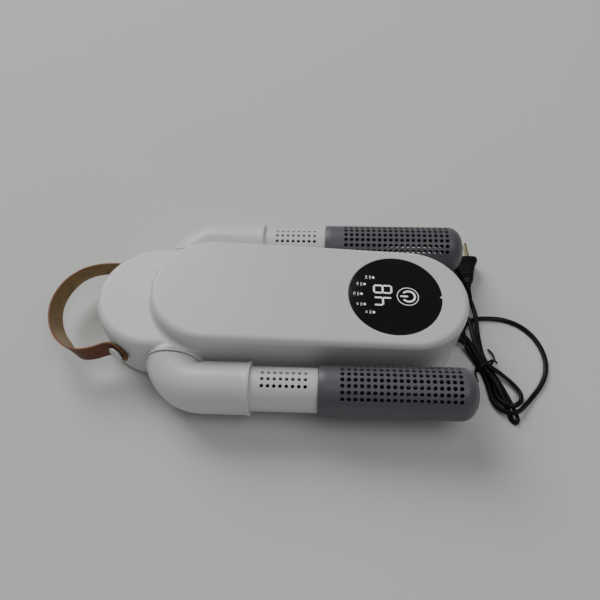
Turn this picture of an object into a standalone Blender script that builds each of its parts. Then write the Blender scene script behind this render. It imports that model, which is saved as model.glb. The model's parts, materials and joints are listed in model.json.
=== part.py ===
"""Folding boot dryer: a flat blower body with a touch panel, two swinging arms with telescopic nozzles,
a leather carrying strap and a tied mains cord.

World frame: +X runs along the body towards the nozzle tips, +Z is up, and Z = 0 is the surface under the
feet. All sizes are in millimetres and become metres when a mesh is made.
"""

import math

import bmesh
import bpy
import numpy as np
from mathutils import Matrix, Vector

MM = 0.001
GAP = 0.3

# Housing: in plan it runs round two circles, each (centre x, radius), and so does the raised part of its top
TIP = (107.7, 42.5)
TAIL = (-77.5, 45.5)
RAISED_TAIL = (-36.2, 44.83)
RAISED_PROUD = 0.06
TOP_Z = 58.0
LEDGE_Z = 45.0
BODY_BOTTOM_Z = 2.0
DRAFT = 1.2
TOP_FILLET = 5.0
LEDGE_FILLET = 6.0
WALL = 2.2
TOP_WALL = 3.2
ARC_STEPS = 14
POST_RADIUS = 3.4
POST_BORE_RADIUS = 1.7
POST_BORE_TOP_Z = 16.0
POST_SKIN = 1.5
LEDGE_POSTS = ((-104.0, -12.0), (-104.0, 12.0))
RAISED_POSTS = ((-2.0, -33.0), (-2.0, 33.0), (132.0, -20.0), (132.0, 20.0))

# Bottom cover, its slots, feet and screws
COVER_Z = (2.3, 4.8)
COVER_BORE_RADIUS = 1.9
STANDOFF_RADIUS = 2.4
FOOT_SPOTS = ((-92.0, -22.0), (-92.0, 22.0), (116.0, -26.0), (116.0, 26.0))
FOOT_RADIUS = 6.0
FOOT_BEVEL = 0.8
SCREW_HEAD = (2.9, 0.9)
SCREW_SHANK_RADIUS = 1.4
SCREW_RECESS = (3.3, 1.2)
SLOT_COUNT = 7
SLOT_SIZE = (3.0, 32.0)
SLOT_PITCH = 5.2
BOARD_STANDOFFS = ((74.0, -21.0), (74.0, 21.0), (118.0, -10.0), (118.0, 10.0))

# Touch panel and the boards under it
PANEL_X = 96.2
PANEL_RADIUS = 33.6
PANEL_RECESS = 1.5
PANEL_THICK = 1.2
NOTCH_RADIUS = 1.2
NOTCH_DEPTH = 0.8
CONTROL_BOARD_RADIUS = 29.0
CONTROL_BOARD_Z = (46.5, 48.1)
DISPLAY_BOX = ((79.0, -12.0, 48.4), (95.5, 12.0, 54.4))
POWER_BOARD_BOX = ((68.0, -27.0, 8.0), (124.0, 27.0, 9.6))
RELAY_BOX = ((78.0, 4.0, 9.9), (97.0, 18.0, 25.0))
CAPACITOR_AT = (106.0, -13.0)
CAPACITOR_RADIUS = 6.0
CAPACITOR_Z = (9.9, 29.0)

# Blower, heater and duct
FAN_X = 28.0
SCROLL_RADIUS = 31.0
SPOUT_HALF_WIDTH = 22.0
SPOUT_X = -8.0
SCROLL_Z = (8.0, 33.7)
THIN_WALL = 1.6
INLET_RADIUS = 17.0
FILTER_RADIUS = 19.0
IMPELLER_RADIUS = 26.0
IMPELLER_Z = (12.0, 13.6, 30.0, 31.4)
BLADE_DEPTH = 3.0
BLADE_COUNT = 12
BLADE_GAP_SHARE = 0.6
BACK_PLATE_Z = (29.8, 31.2)
WHEEL_HUB_RADIUS = 4.5
WHEEL_HUB_Z = 20.0
WHEEL_BORE_RADIUS = 1.5
SHAFT_RADIUS = 1.2
SHAFT_END_Z = 19.0
LID_BORE_RADIUS = 3.0
MOTOR_RADIUS = 12.0
MOTOR_TOP_Z = 48.0
MOTOR_BEARING = (5.0, 50.5)
DUCT_X = (-38.0, -8.3)
DUCT_Z = (10.0, 34.0)
HEATER_X = (-32.0, -18.0)
HEATER_SLOTS = 7
HEATER_SLOT_PITCH = 5.4
HEATER_SLOT_WIDTH = 3.4
HEATER_SLOT_MARGIN = 3.6
THERMOSTAT_X = -25.0
THERMOSTAT_RADIUS = 6.0
THERMOSTAT_HEIGHT = 5.0
MANIFOLD_X = (-82.0, -38.3)
MANIFOLD_HALF_WIDTH = 32.0
MANIFOLD_Z = (8.0, 42.0)

# Arms: measured along each arm from its pivot, which is a line parallel to Y
PIVOT_X = -60.8
PIVOT_Z = 24.0
ARM_TILT = math.radians(2.9)
ARM_Y = 64.4
WALL_Y = 45.2
HUB_FACE_Y = 47.9
HUB_RADIUS = 20.2
BEND_RADIUS = 24.0
BEND_STEPS = 6
ELBOW_RADIUS = 18.5
LIP_RADIUS = 19.0
LIP_WIDTH = 2.4
ELBOW_INNER = 15.4
SOCKET_INNER = 16.0
SOCKET_START = 41.7
ELBOW_END = 57.9
NECK_RADIUS = 12.6
NECK_INNER = 10.8
NECK_END_Y = 34.5
HUB_PLATE = 1.2
COLLAR_RADIUS = 21.4
COLLAR_FACE_Y = 46.7
COLLAR_SLEEVE = 14.3
SLEEVE_END_Y = 35.2
SEAL_RADII = (13.2, 17.0)
RETAINER_RADIUS = 14.2
RETAINER_THICK = 1.6
BOSS_RADIUS = 21.2
DRAWN_OUT = {"left": 0.0, "right": 1.9}
TUBE_X = (42.0, 144.8)
TUBE_RADIUS = 15.7
TUBE_INNER = 13.8
TUBE_HOLE = 2.2
TUBE_HOLE_COLUMNS = 8
TUBE_HOLE_ROWS = 3
TUBE_ROW_STEP = 19.0
TUBE_FIRST_HOLE = 66.6
TUBE_PITCH = 4.25
RING_X = 136.0
RING_GROOVE_RADIUS = 14.9
RING_GROOVE_HALF = 1.5
RING_RADII = (15.2, 16.2)
RING_HALF = 1.1
NOZZLE_X = (104.8, 215.2)
NOZZLE_RADIUS = 18.42
NOZZLE_INNER = 16.5
NOZZLE_TIP_WALL = 1.9
NOZZLE_FIRST_HOLE = 120.8
NOZZLE_HOLE = 4.4
NOZZLE_COLUMNS = 9
NOZZLE_PITCH = 8.8
NOZZLE_ROWS = 4
NOZZLE_ROW_STEP = 28.6
NOZZLE_ROW_CENTRE = 5.5
SIDES = {"left": -1.0, "right": 1.0}

# Strap and its studs on the rounded end
STUD_ANGLE = math.radians(56.9)
STUD_Z = 24.5
STUD_PEG_RADIUS = 2.0
STUD_SHANK = 2.8
STUD_HEAD = 6.0
STUD_BEVEL = 0.8
STUD_REACH = (41.0, 45.1, 48.4, 49.4, 50.1)
STUD_BORE_RADIUS = 2.3
STRAP_REACH = 46.4
STRAP_HOLE = 4.2
STRAP_THICK = 1.8
STRAP_WIDTH = 17.0
STRAP_END_DROP = 3.0
STRAP_PLAN = (  # x, y, and how far the top edge leans out from the middle
    (-95.2, -43.6, 0.0), (-99.1, -41.2, 0.0), (-102.9, -38.8, 0.0), (-107.1, -36.5, 0.0),
    (-112.4, -37.2, 0.0),
    (-121.0, -41.0, 0.2), (-130.0, -42.4, 0.8), (-138.0, -39.0, 2.5), (-144.6, -32.6, 3.8),
    (-150.7, -25.0, 3.4), (-154.9, -16.5, 2.8), (-157.6, -6.0, 2.0), (-157.6, 5.0, 1.0), (-154.2, 17.0, 0.0),
    (-146.9, 27.6, -1.2), (-138.5, 33.2, -1.6), (-129.0, 36.0, -1.5), (-119.0, 36.6, -1.0),
    (-112.2, 36.0, -0.4), (-107.2, 36.7, 0.0), (-102.9, 38.8, 0.0), (-99.1, 41.2, 0.0), (-95.2, 43.6, 0.0),
)

# Cord: where it leaves, and the points its centre line runs through
CORD_DIAMETER = 3.2
CORD_STEPS = 78
RELIEF_PATH = (
    (146.6, -2.0, 7.0), (149.4, -2.0, 7.0), (149.6, -2.0, 7.0), (152.2, -2.1, 7.0), (155.2, -2.9, 6.7),
    (156.9, -4.2, 6.3), (158.0, -6.1, 5.8),
)
RELIEF_RADII = (2.2, 2.2, 3.1, 3.0, 2.7, 2.4, 2.0)
CORD_ROUTE = (
    (158.7, -7.2, 5.3), (161.6, -12.8, 3.5), (165.0, -19.0, 2.7),
    (168.6, -25.7, 2.6), (171.6, -34.0, 1.8), (173.2, -43.0, 1.7), (174.6, -51.5, 1.9), (178.2, -58.6, 3.7),
    (184.6, -62.6, 5.4), (191.6, -60.8, 5.4), (198.0, -54.8, 3.7), (205.2, -46.6, 1.9), (212.6, -37.4, 1.7),
    (218.2, -26.6, 1.7), (220.2, -14.6, 1.7), (218.4, -2.6, 1.7), (213.0, 8.2, 1.7), (204.4, 16.4, 1.7),
    (193.4, 21.0, 1.7), (182.0, 22.0, 1.7), (171.0, 20.8, 1.7), (162.6, 16.6, 1.7), (159.0, 9.0, 1.7),
    (160.2, 0.4, 1.7), (163.6, -7.6, 1.7), (167.4, -15.8, 2.2),
    (171.6, -24.0, 2.6), (175.0, -32.0, 2.0), (176.6, -40.4, 1.7), (177.9, -48.2, 2.2), (181.6, -54.4, 4.2),
    (188.0, -57.0, 5.4), (194.2, -52.6, 5.2), (195.6, -44.8, 3.6), (190.8, -36.8, 3.2), (182.6, -30.0, 4.6),
    (173.1, -23.2, 5.9), (168.8, -14.4, 5.8), (166.3, -5.0, 5.3), (165.1, 5.4, 5.2), (164.2, 15.0, 5.1),
    (161.4, 21.8, 4.9), (156.4, 23.6, 4.6), (152.0, 20.2, 4.4), (152.0, 14.0, 4.4), (154.8, 7.4, 4.6),
    (159.2, 0.8, 5.2), (162.5, -6.2, 5.9), (165.5, -14.6, 6.1),
    (170.1, -24.8, 5.9), (174.4, -32.4, 5.5), (177.9, -38.4, 4.9), (180.6, -44.2, 3.0), (183.0, -50.2, 1.7),
    (184.6, -56.0, 1.7), (185.6, -61.4, 1.7), (186.6, -66.0, 1.7), (189.3, -68.6, 1.7), (191.4, -65.8, 1.7),
    (190.4, -60.6, 1.7), (188.9, -55.2, 1.7), (187.0, -49.4, 1.7), (184.4, -43.0, 1.7), (181.4, -36.4, 1.9),
    (178.0, -29.4, 2.2), (174.6, -22.3, 2.6), (171.9, -13.2, 2.0), (170.8, -3.0, 1.7), (170.2, 7.0, 2.0),
    (169.9, 14.6, 3.6), (169.6, 21.2, 5.1), (168.2, 29.4, 5.8), (166.0, 36.6, 7.2),
)
TIE_AT = (171.6, -24.0, 4.95)
TIE_DIRECTION = (0.486, -0.874, 0.0)
TIE_HOLE = (6.9, 4.2)
TIE_THICK = 0.6
TIE_WIDTH = 2.4

# Plug: measured from the end of its tail towards its face
PLUG_TAIL = (165.8, 37.6, 7.4)
PLUG_TURN = math.radians(4.5)
PLUG_SECTIONS = (
    (0.0, 2.4, 2.4), (8.0, 3.2, 3.2), (13.0, 4.2, 4.0), (15.0, 6.6, 6.0), (24.0, 8.2, 7.0), (33.0, 12.4, 7.2),
    (39.0, 13.0, 7.2),
)
ROUND_TAIL_END = 13.0
SQUARENESS = 4
BLADE_SPREAD = 6.35
BLADE_SIZE = (1.5, 17.0, 6.3)


def material(name, colour, roughness, metallic=0.0):
    made = bpy.data.materials.get(name)
    if made is None:
        made = bpy.data.materials.new(name)
        made.use_nodes = True
        shader = made.node_tree.nodes["Principled BSDF"]
        shader.inputs["Base Color"].default_value = (*colour, 1.0)
        shader.inputs["Roughness"].default_value = roughness
        shader.inputs["Metallic"].default_value = metallic
    return made


WHITE = ("white_plastic", (0.78, 0.79, 0.78), 0.32)
GREY = ("grey_plastic", (0.12, 0.12, 0.13), 0.45)
BLACK_GLOSS = ("panel_black", (0.01, 0.01, 0.01), 0.12)
BLACK_PLASTIC = ("black_plastic", (0.02, 0.02, 0.02), 0.5)
CORD_PVC = ("cord_pvc", (0.015, 0.015, 0.015), 0.45)
RUBBER = ("rubber", (0.03, 0.03, 0.03), 0.8)
LEATHER = ("leather", (0.25, 0.09, 0.04), 0.6)
STEEL = ("steel", (0.6, 0.6, 0.6), 0.3, 1.0)
ALUMINIUM = ("aluminium", (0.7, 0.7, 0.72), 0.4, 1.0)
BRASS = ("brass", (0.75, 0.6, 0.3), 0.3, 1.0)
BOARD = ("circuit_board", (0.03, 0.16, 0.07), 0.5)
DUCT_PLASTIC = ("duct_plastic", (0.05, 0.05, 0.055), 0.6)
FOAM = ("filter_foam", (0.05, 0.05, 0.05), 0.95)


def add_object(name, bm, look, parent=None):
    """An object from a bmesh in millimetres, its faces turned outwards."""
    bmesh.ops.recalc_face_normals(bm, faces=bm.faces)
    bmesh.ops.scale(bm, vec=(MM, MM, MM), verts=bm.verts)
    mesh = bpy.data.meshes.new(name)
    bm.to_mesh(mesh)
    bm.free()
    mesh.shade_smooth()
    mesh.set_sharp_from_angle(angle=math.radians(35))
    made = bpy.data.objects.new(name, mesh)
    made.parent = parent
    bpy.context.scene.collection.objects.link(made)
    if look:
        mesh.materials.append(material(*look))
    else:
        made.hide_render = True
        made.display_type = "WIRE"
    return made


def combine(target, operation, other):
    """Adds a Boolean to target and moves the helper under target's parent, so that both share one frame."""
    other.parent = target.parent
    step = target.modifiers.new(f"{operation.lower()}_{other.name}", "BOOLEAN")
    step.operation = operation
    step.object = other


def empty(name, location, rotation=(0, 0, 0)):
    made = bpy.data.objects.new(name, None)
    made.location = Vector(location) * MM
    made.rotation_euler = rotation
    bpy.context.scene.collection.objects.link(made)
    return made


def loft(bm, rings, closed=False):
    """Faces through rings of equally many points: a tube closed on itself, or one with a cap at each end."""
    made = [[bm.verts.new(point) for point in ring] for ring in rings]
    pairs = list(zip(made, made[1:] + made[:1])) if closed else list(zip(made, made[1:]))
    for first, second in pairs:
        for i in range(len(first)):
            j = (i + 1) % len(first)
            bm.faces.new((first[i], first[j], second[j], second[i]))
    if not closed:
        bm.faces.new(made[0])
        bm.faces.new(made[-1])
    return bm


def box(bm, low, high):
    plan = ((low[0], low[1]), (high[0], low[1]), (high[0], high[1]), (low[0], high[1]))
    corners = [[(x, y, z) for x, y in plan]
               for z in (low[2], high[2])]
    return loft(bm, corners)


def circle(radius, z, count, centre=(0.0, 0.0)):
    turns = [2 * math.pi * i / count for i in range(count)]
    return [(centre[0] + radius * math.cos(a), centre[1] + radius * math.sin(a), z) for a in turns]


def drum(bm, radius, low, high, centre=(0.0, 0.0), count=24):
    return loft(bm, [circle(radius, low, count, centre), circle(radius, high, count, centre)])


def turned(profile, count=32):
    """A solid turned about Z from a closed profile of (radius, height) points that stay off the axis."""
    return loft(bmesh.new(), [circle(radius, z, count) for radius, z in profile], closed=True)


def aim(bm, direction, origin=(0.0, 0.0, 0.0)):
    """Turns a shape made about Z so that it runs along direction from origin."""
    turn = Vector((0, 0, 1)).rotation_difference(Vector(direction)).to_matrix().to_4x4()
    bmesh.ops.transform(bm, matrix=Matrix.Translation(Vector(origin)) @ turn, verts=bm.verts)
    return bm


def plan_outline(tail, inset, z):
    """Outline in plan round the tip's circle and a tail's circle, drawn in by inset and by the draft at z."""
    inset += DRAFT * (TOP_Z - z) / (TOP_Z - BODY_BOTTOM_Z)
    narrowing = math.asin((tail[1] - TIP[1]) / (TIP[0] - tail[0]))
    corner = math.pi / 2 - narrowing
    points = []
    for (centre, radius), start, end in ((TIP, -corner, corner), (tail, corner, 2 * math.pi - corner)):
        reach = radius - inset
        for i in range(ARC_STEPS + 1):
            angle = start + (end - start) * i / ARC_STEPS
            points.append((centre + reach * math.cos(angle), reach * math.sin(angle), z))
    return points


def rounded_block(tail, low, high, fillet, inset):
    """A drafted block with a round top edge."""
    rings = [plan_outline(tail, inset, low)]
    for i in range(5):
        angle = math.radians(90.0 * i / 4)
        z = high - fillet * (1 - math.sin(angle))
        rings.append(plan_outline(tail, inset + fillet * (1 - math.cos(angle)), z))
    return loft(bmesh.new(), rings)


def make_housing():
    body = rounded_block(TAIL, BODY_BOTTOM_Z, LEDGE_Z, LEDGE_FILLET, 0.0)
    housing = add_object("upper_housing", body, WHITE)
    raised = rounded_block(RAISED_TAIL, LEDGE_Z - 9.0, TOP_Z, TOP_FILLET, -RAISED_PROUD)
    combine(housing, "UNION", add_object("raised_block", raised, None))
    bosses = drum(bmesh.new(), BOSS_RADIUS, -WALL_Y, WALL_Y, count=32)
    aim(bosses, (0, 1, 0), (PIVOT_X, 0, PIVOT_Z))
    combine(housing, "UNION", add_object("pivot_bosses", bosses, None))
    lower_room = rounded_block(TAIL, BODY_BOTTOM_Z - 1.0, LEDGE_Z - WALL, LEDGE_FILLET - WALL, WALL)
    combine(housing, "DIFFERENCE", add_object("lower_room", lower_room, None))
    upper_room = rounded_block(RAISED_TAIL, LEDGE_Z - 12.0, TOP_Z - TOP_WALL, TOP_FILLET - WALL, WALL)
    combine(housing, "DIFFERENCE", add_object("upper_room", upper_room, None))
    for i, (spot, top) in enumerate([(s, LEDGE_Z) for s in LEDGE_POSTS] + [(s, TOP_Z) for s in RAISED_POSTS]):
        post = drum(bmesh.new(), POST_RADIUS, COVER_Z[1] + GAP, top - POST_SKIN, spot, count=16)
        combine(housing, "UNION", add_object(f"post_{i + 1}", post, None))
    cuts = bmesh.new()
    for spot in LEDGE_POSTS + RAISED_POSTS:
        drum(cuts, POST_BORE_RADIUS, 0.0, POST_BORE_TOP_Z, spot, count=12)
    drum(cuts, PANEL_RADIUS + GAP, TOP_Z - PANEL_RECESS, TOP_Z + 2.0, (PANEL_X, 0.0), count=48)
    combine(housing, "DIFFERENCE", add_object("post_bores_and_panel_recess", cuts, None))
    for name, side in SIDES.items():
        hole = drum(bmesh.new(), COLLAR_SLEEVE + GAP, NECK_END_Y, HUB_FACE_Y, count=32)
        aim(hole, (0, side, 0), (PIVOT_X, 0, PIVOT_Z))
        combine(housing, "DIFFERENCE", add_object(f"{name}_neck_hole", hole, None))
        stud_hole = drum(bmesh.new(), STUD_BORE_RADIUS, NECK_END_Y, HUB_FACE_Y, count=16)
        aim(stud_hole, stud_direction(side), (TAIL[0], 0, STUD_Z))
        combine(housing, "DIFFERENCE", add_object(f"{name}_stud_hole", stud_hole, None))
    cord_hole = aim(drum(bmesh.new(), RELIEF_RADII[0] + GAP, -6.0, 6.0, count=16), (1, 0, 0), RELIEF_PATH[0])
    combine(housing, "DIFFERENCE", add_object("cord_hole", cord_hole, None))


def make_bottom_cover():
    cover = loft(bmesh.new(), [plan_outline(TAIL, WALL + GAP, z) for z in COVER_Z])
    cover = add_object("bottom_cover", cover, WHITE)
    for i, spot in enumerate(BOARD_STANDOFFS):
        standoff = drum(bmesh.new(), STANDOFF_RADIUS, COVER_Z[1] - 1.0, SCROLL_Z[0] - GAP, spot, count=12)
        combine(cover, "UNION", add_object(f"standoff_{i + 1}", standoff, None))
    cuts = bmesh.new()
    for spot in LEDGE_POSTS + RAISED_POSTS:
        drum(cuts, COVER_BORE_RADIUS, 0.0, 10.0, spot, count=12)
    half_x, half_y = SLOT_SIZE[0] / 2, SLOT_SIZE[1] / 2
    for i in range(SLOT_COUNT):
        x = FAN_X + (i - (SLOT_COUNT - 1) / 2) * SLOT_PITCH
        box(cuts, (x - half_x, -half_y, 0.0), (x + half_x, half_y, 10.0))
    combine(cover, "DIFFERENCE", add_object("cover_cuts", cuts, None))
    recesses = bmesh.new()
    for spot in LEDGE_POSTS + RAISED_POSTS:
        drum(recesses, SCREW_RECESS[0], 0.0, COVER_Z[0] + SCREW_RECESS[1], spot, count=16)
    combine(cover, "DIFFERENCE", add_object("screw_recesses", recesses, None))


def make_feet_and_screws():
    for i, spot in enumerate(FOOT_SPOTS):
        rings = [circle(FOOT_RADIUS - FOOT_BEVEL, 0.0, 20, spot), circle(FOOT_RADIUS, FOOT_BEVEL, 20, spot),
                 circle(FOOT_RADIUS, COVER_Z[0] - GAP, 20, spot)]
        add_object(f"foot_{i + 1}", loft(bmesh.new(), rings), RUBBER)
    seat = COVER_Z[0] + SCREW_RECESS[1] - GAP
    for i, spot in enumerate(LEDGE_POSTS + RAISED_POSTS):
        profile = ((SCREW_HEAD[0], seat - SCREW_HEAD[1]), (SCREW_HEAD[0], seat), (SCREW_SHANK_RADIUS, seat),
                   (SCREW_SHANK_RADIUS, POST_BORE_TOP_Z - 2.0))
        screw = loft(bmesh.new(), [circle(radius, z, 10, spot) for radius, z in profile])
        add_object(f"cover_screw_{i + 1}", screw, STEEL)


def make_panel_and_boards():
    low = TOP_Z - PANEL_RECESS + GAP
    panel = drum(bmesh.new(), PANEL_RADIUS, low, low + PANEL_THICK, (PANEL_X, 0.0), count=48)
    panel = add_object("touch_panel", panel, BLACK_GLOSS)
    notch_at = (PANEL_X + PANEL_RADIUS - NOTCH_DEPTH, 0.0)
    notch = drum(bmesh.new(), NOTCH_RADIUS, low - 1.0, TOP_Z + 1.0, notch_at, count=12)
    combine(panel, "DIFFERENCE", add_object("panel_notch", notch, None))
    board = drum(bmesh.new(), CONTROL_BOARD_RADIUS, *CONTROL_BOARD_Z, (PANEL_X, 0.0), count=32)
    add_object("control_board", board, BOARD)
    add_object("display_module", box(bmesh.new(), *DISPLAY_BOX), BLACK_PLASTIC)
    add_object("power_board", box(bmesh.new(), *POWER_BOARD_BOX), BOARD)
    add_object("relay", box(bmesh.new(), *RELAY_BOX), BLACK_PLASTIC)
    capacitor = drum(bmesh.new(), CAPACITOR_RADIUS, *CAPACITOR_Z, CAPACITOR_AT, count=20)
    add_object("capacitor", capacitor, ALUMINIUM)


def scroll_outline(inset, z, spout_x=SPOUT_X):
    """A round case with a straight spout towards -X."""
    radius, half = SCROLL_RADIUS - inset, SPOUT_HALF_WIDTH - inset
    reach = 180.0 - math.degrees(math.asin(half / radius))
    angles = [math.radians(-reach + 2 * reach * i / 26) for i in range(27)]
    arc = [(FAN_X + radius * math.cos(a), radius * math.sin(a), z) for a in angles]
    return arc + [(spout_x, half, z), (spout_x, -half, z)]


def make_blower():
    low, high = SCROLL_Z
    case = loft(bmesh.new(), [scroll_outline(0.0, z) for z in SCROLL_Z])
    scroll = add_object("blower_scroll", case, DUCT_PLASTIC)
    room = [scroll_outline(THIN_WALL, z, SPOUT_X - 5.0) for z in (low + THIN_WALL, high + 5.0)]
    combine(scroll, "DIFFERENCE", add_object("scroll_room", loft(bmesh.new(), room), None))
    inlet = drum(bmesh.new(), INLET_RADIUS, low - 2.0, low + 6.0, (FAN_X, 0.0), count=28)
    combine(scroll, "DIFFERENCE", add_object("scroll_inlet", inlet, None))
    lid_low = high + GAP
    lid = loft(bmesh.new(), [scroll_outline(0.0, z) for z in (lid_low, lid_low + THIN_WALL)])
    lid = add_object("blower_lid", lid, DUCT_PLASTIC)
    bore = drum(bmesh.new(), LID_BORE_RADIUS, lid_low - 2.0, lid_low + 4.0, (FAN_X, 0.0), count=16)
    combine(lid, "DIFFERENCE", add_object("lid_bore", bore, None))
    motor_low = lid_low + THIN_WALL + GAP
    profile = ((MOTOR_RADIUS, motor_low), (MOTOR_RADIUS, MOTOR_TOP_Z), (MOTOR_BEARING[0], MOTOR_TOP_Z),
               MOTOR_BEARING)
    motor = loft(bmesh.new(), [circle(radius, z, 28, (FAN_X, 0.0)) for radius, z in profile])
    add_object("fan_motor", motor, STEEL)
    disc = drum(bmesh.new(), FILTER_RADIUS, COVER_Z[1] + GAP, low - GAP, (FAN_X, 0.0), count=28)
    add_object("intake_filter", disc, FOAM)
    return motor_low


def slotted_ring(radii, heights, count, slot_share):
    """A ring with evenly spaced upright slots, from its lowest to its highest inner height."""
    angles = []
    for i in range(count):
        angles += [2 * math.pi * i / count, 2 * math.pi * (i + 1 - slot_share) / count]
    holes = {(1, 2 * i + 1) for i in range(count)}
    stations = [(z, radii[1], radii[0]) for z in heights]
    return pierced_shell(stations, angles, holes)


def pierced_shell(stations, angles, holes, end_cap=None):
    """A turned wall about Z with four-sided holes.

    stations holds (height, outer radius, inner radius) from end to end, angles the directions of the lines
    along the wall, and holes the (station, angle) cells that are open. end_cap closes the far end at
    (outer height, inner height) on the axis.
    """
    bm = bmesh.new()
    count = len(angles)

    around = [(math.cos(a), math.sin(a)) for a in angles]

    def skin(which):
        return [[bm.verts.new((station[which] * x, station[which] * y, station[0])) for x, y in around]
                for station in stations]

    outer, inner = skin(1), skin(2)
    for grid in (outer, inner):
        for i in range(len(stations) - 1):
            for j in range(count):
                if (i, j) not in holes:
                    k = (j + 1) % count
                    bm.faces.new((grid[i][j], grid[i][k], grid[i + 1][k], grid[i + 1][j]))
    for i, j in holes:
        k = (j + 1) % count
        corners = ((i, j), (i, k), (i + 1, k), (i + 1, j))
        for (a, b), (c, d) in zip(corners, corners[1:] + corners[:1]):
            bm.faces.new((outer[a][b], outer[c][d], inner[c][d], inner[a][b]))
    ends = [0] if end_cap else [0, len(stations) - 1]
    for i in ends:
        for j in range(count):
            k = (j + 1) % count
            bm.faces.new((outer[i][j], outer[i][k], inner[i][k], inner[i][j]))
    if end_cap:
        for grid, height in ((outer, end_cap[0]), (inner, end_cap[1])):
            tip = bm.verts.new((0.0, 0.0, height))
            for j in range(count):
                bm.faces.new((grid[-1][j], grid[-1][(j + 1) % count], tip))
    return bm


def make_impeller(motor_low):
    """A squirrel-cage wheel hanging from its back plate, with its hub on the motor's shaft."""
    axle = empty("fan_axle", (FAN_X, 0.0, 0.0))
    rim = IMPELLER_RADIUS - BLADE_DEPTH
    cage = slotted_ring((rim, IMPELLER_RADIUS), IMPELLER_Z, BLADE_COUNT, BLADE_GAP_SHARE)
    cage = add_object("impeller", cage, WHITE, axle)
    low, high = BACK_PLATE_Z
    hub = [(rim + 1.0, high), (rim + 1.0, low), (WHEEL_HUB_RADIUS, low), (WHEEL_HUB_RADIUS, WHEEL_HUB_Z),
           (WHEEL_BORE_RADIUS, WHEEL_HUB_Z), (WHEEL_BORE_RADIUS, high)]
    combine(cage, "UNION", add_object("impeller_back_plate", turned(hub, 32), None, axle))
    shaft = drum(bmesh.new(), SHAFT_RADIUS, SHAFT_END_Z, motor_low - GAP, count=12)
    add_object("motor_shaft", shaft, STEEL, axle)


def make_heater():
    low, high = DUCT_Z
    duct = box(bmesh.new(), (DUCT_X[0], -SPOUT_HALF_WIDTH, low), (DUCT_X[1], SPOUT_HALF_WIDTH, high))
    duct = add_object("heater_duct", duct, DUCT_PLASTIC)
    bore = box(bmesh.new(), (DUCT_X[0] - 2.0, THIN_WALL - SPOUT_HALF_WIDTH, low + THIN_WALL),
               (DUCT_X[1] + 2.0, SPOUT_HALF_WIDTH - THIN_WALL, high - THIN_WALL))
    combine(duct, "DIFFERENCE", add_object("duct_bore", bore, None))
    half, start, end = SPOUT_HALF_WIDTH - THIN_WALL - GAP, *HEATER_X
    block = box(bmesh.new(), (start, -half, low + THIN_WALL + GAP), (end, half, high - THIN_WALL - GAP))
    block = add_object("ptc_heater", block, ALUMINIUM)
    slots = bmesh.new()
    for i in range(HEATER_SLOTS):
        y = (i - (HEATER_SLOTS - 1) / 2) * HEATER_SLOT_PITCH
        box(slots, (start - 2.0, y - HEATER_SLOT_WIDTH / 2, low + HEATER_SLOT_MARGIN),
            (end + 2.0, y + HEATER_SLOT_WIDTH / 2, high - HEATER_SLOT_MARGIN))
    combine(block, "DIFFERENCE", add_object("heater_slots", slots, None))
    thermostat = drum(bmesh.new(), THERMOSTAT_RADIUS, high + GAP, high + THERMOSTAT_HEIGHT,
                      (THERMOSTAT_X, 0.0), count=20)
    add_object("thermostat", thermostat, BRASS)


def make_manifold():
    low, high = MANIFOLD_Z
    half = MANIFOLD_HALF_WIDTH
    shell = box(bmesh.new(), (MANIFOLD_X[0], -half, low), (MANIFOLD_X[1], half, high))
    shell = add_object("air_manifold", shell, DUCT_PLASTIC)
    room = box(bmesh.new(), (MANIFOLD_X[0] + THIN_WALL, THIN_WALL - half, low + THIN_WALL),
               (MANIFOLD_X[1] - THIN_WALL, half - THIN_WALL, high - THIN_WALL))
    combine(shell, "DIFFERENCE", add_object("manifold_room", room, None))
    mouth = box(bmesh.new(), (MANIFOLD_X[1] - 4.0, THIN_WALL - SPOUT_HALF_WIDTH, DUCT_Z[0] + THIN_WALL),
                (MANIFOLD_X[1] + 4.0, SPOUT_HALF_WIDTH - THIN_WALL, DUCT_Z[1] - THIN_WALL))
    combine(shell, "DIFFERENCE", add_object("manifold_mouth", mouth, None))
    ports = aim(drum(bmesh.new(), NECK_INNER, -half - 2.0, half + 2.0), (0, 1, 0), (PIVOT_X, 0, PIVOT_Z))
    combine(shell, "DIFFERENCE", add_object("manifold_ports", ports, None))


def make_collar(name, side):
    bore, seat = NECK_RADIUS + GAP, WALL_Y + GAP
    profile = [(COLLAR_RADIUS, seat), (COLLAR_RADIUS, COLLAR_FACE_Y), (bore, COLLAR_FACE_Y),
               (bore, SLEEVE_END_Y), (COLLAR_SLEEVE, SLEEVE_END_Y), (COLLAR_SLEEVE, seat)]
    collar = aim(turned(profile, 28), (0, side, 0), (PIVOT_X, 0, PIVOT_Z))
    add_object(f"{name}_collar", collar, WHITE)
    low, high = COLLAR_FACE_Y + GAP, HUB_FACE_Y - GAP
    inner, outer = SEAL_RADII
    seal = turned([(outer, low), (outer, high), (inner, high), (inner, low)], 24)
    add_object(f"{name}_hub_seal", aim(seal, (0, side, 0), (PIVOT_X, 0, PIVOT_Z)), RUBBER)


def level_ring(side, radius, reach, count=26):
    """A circle about the arm's pivot line, at a distance from the middle of the body."""
    turns = [2 * math.pi * i / count for i in range(count)]
    return [(radius * math.cos(a), side * reach, radius * math.sin(a)) for a in turns]


def arm_ring(side, radius, x, count=26):
    """A circle about the arm's centre line, at a distance from its pivot."""
    turns = [2 * math.pi * i / count for i in range(count)]
    return [(x, side * (ARM_Y - radius * math.cos(a)), radius * math.sin(a)) for a in turns]


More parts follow.
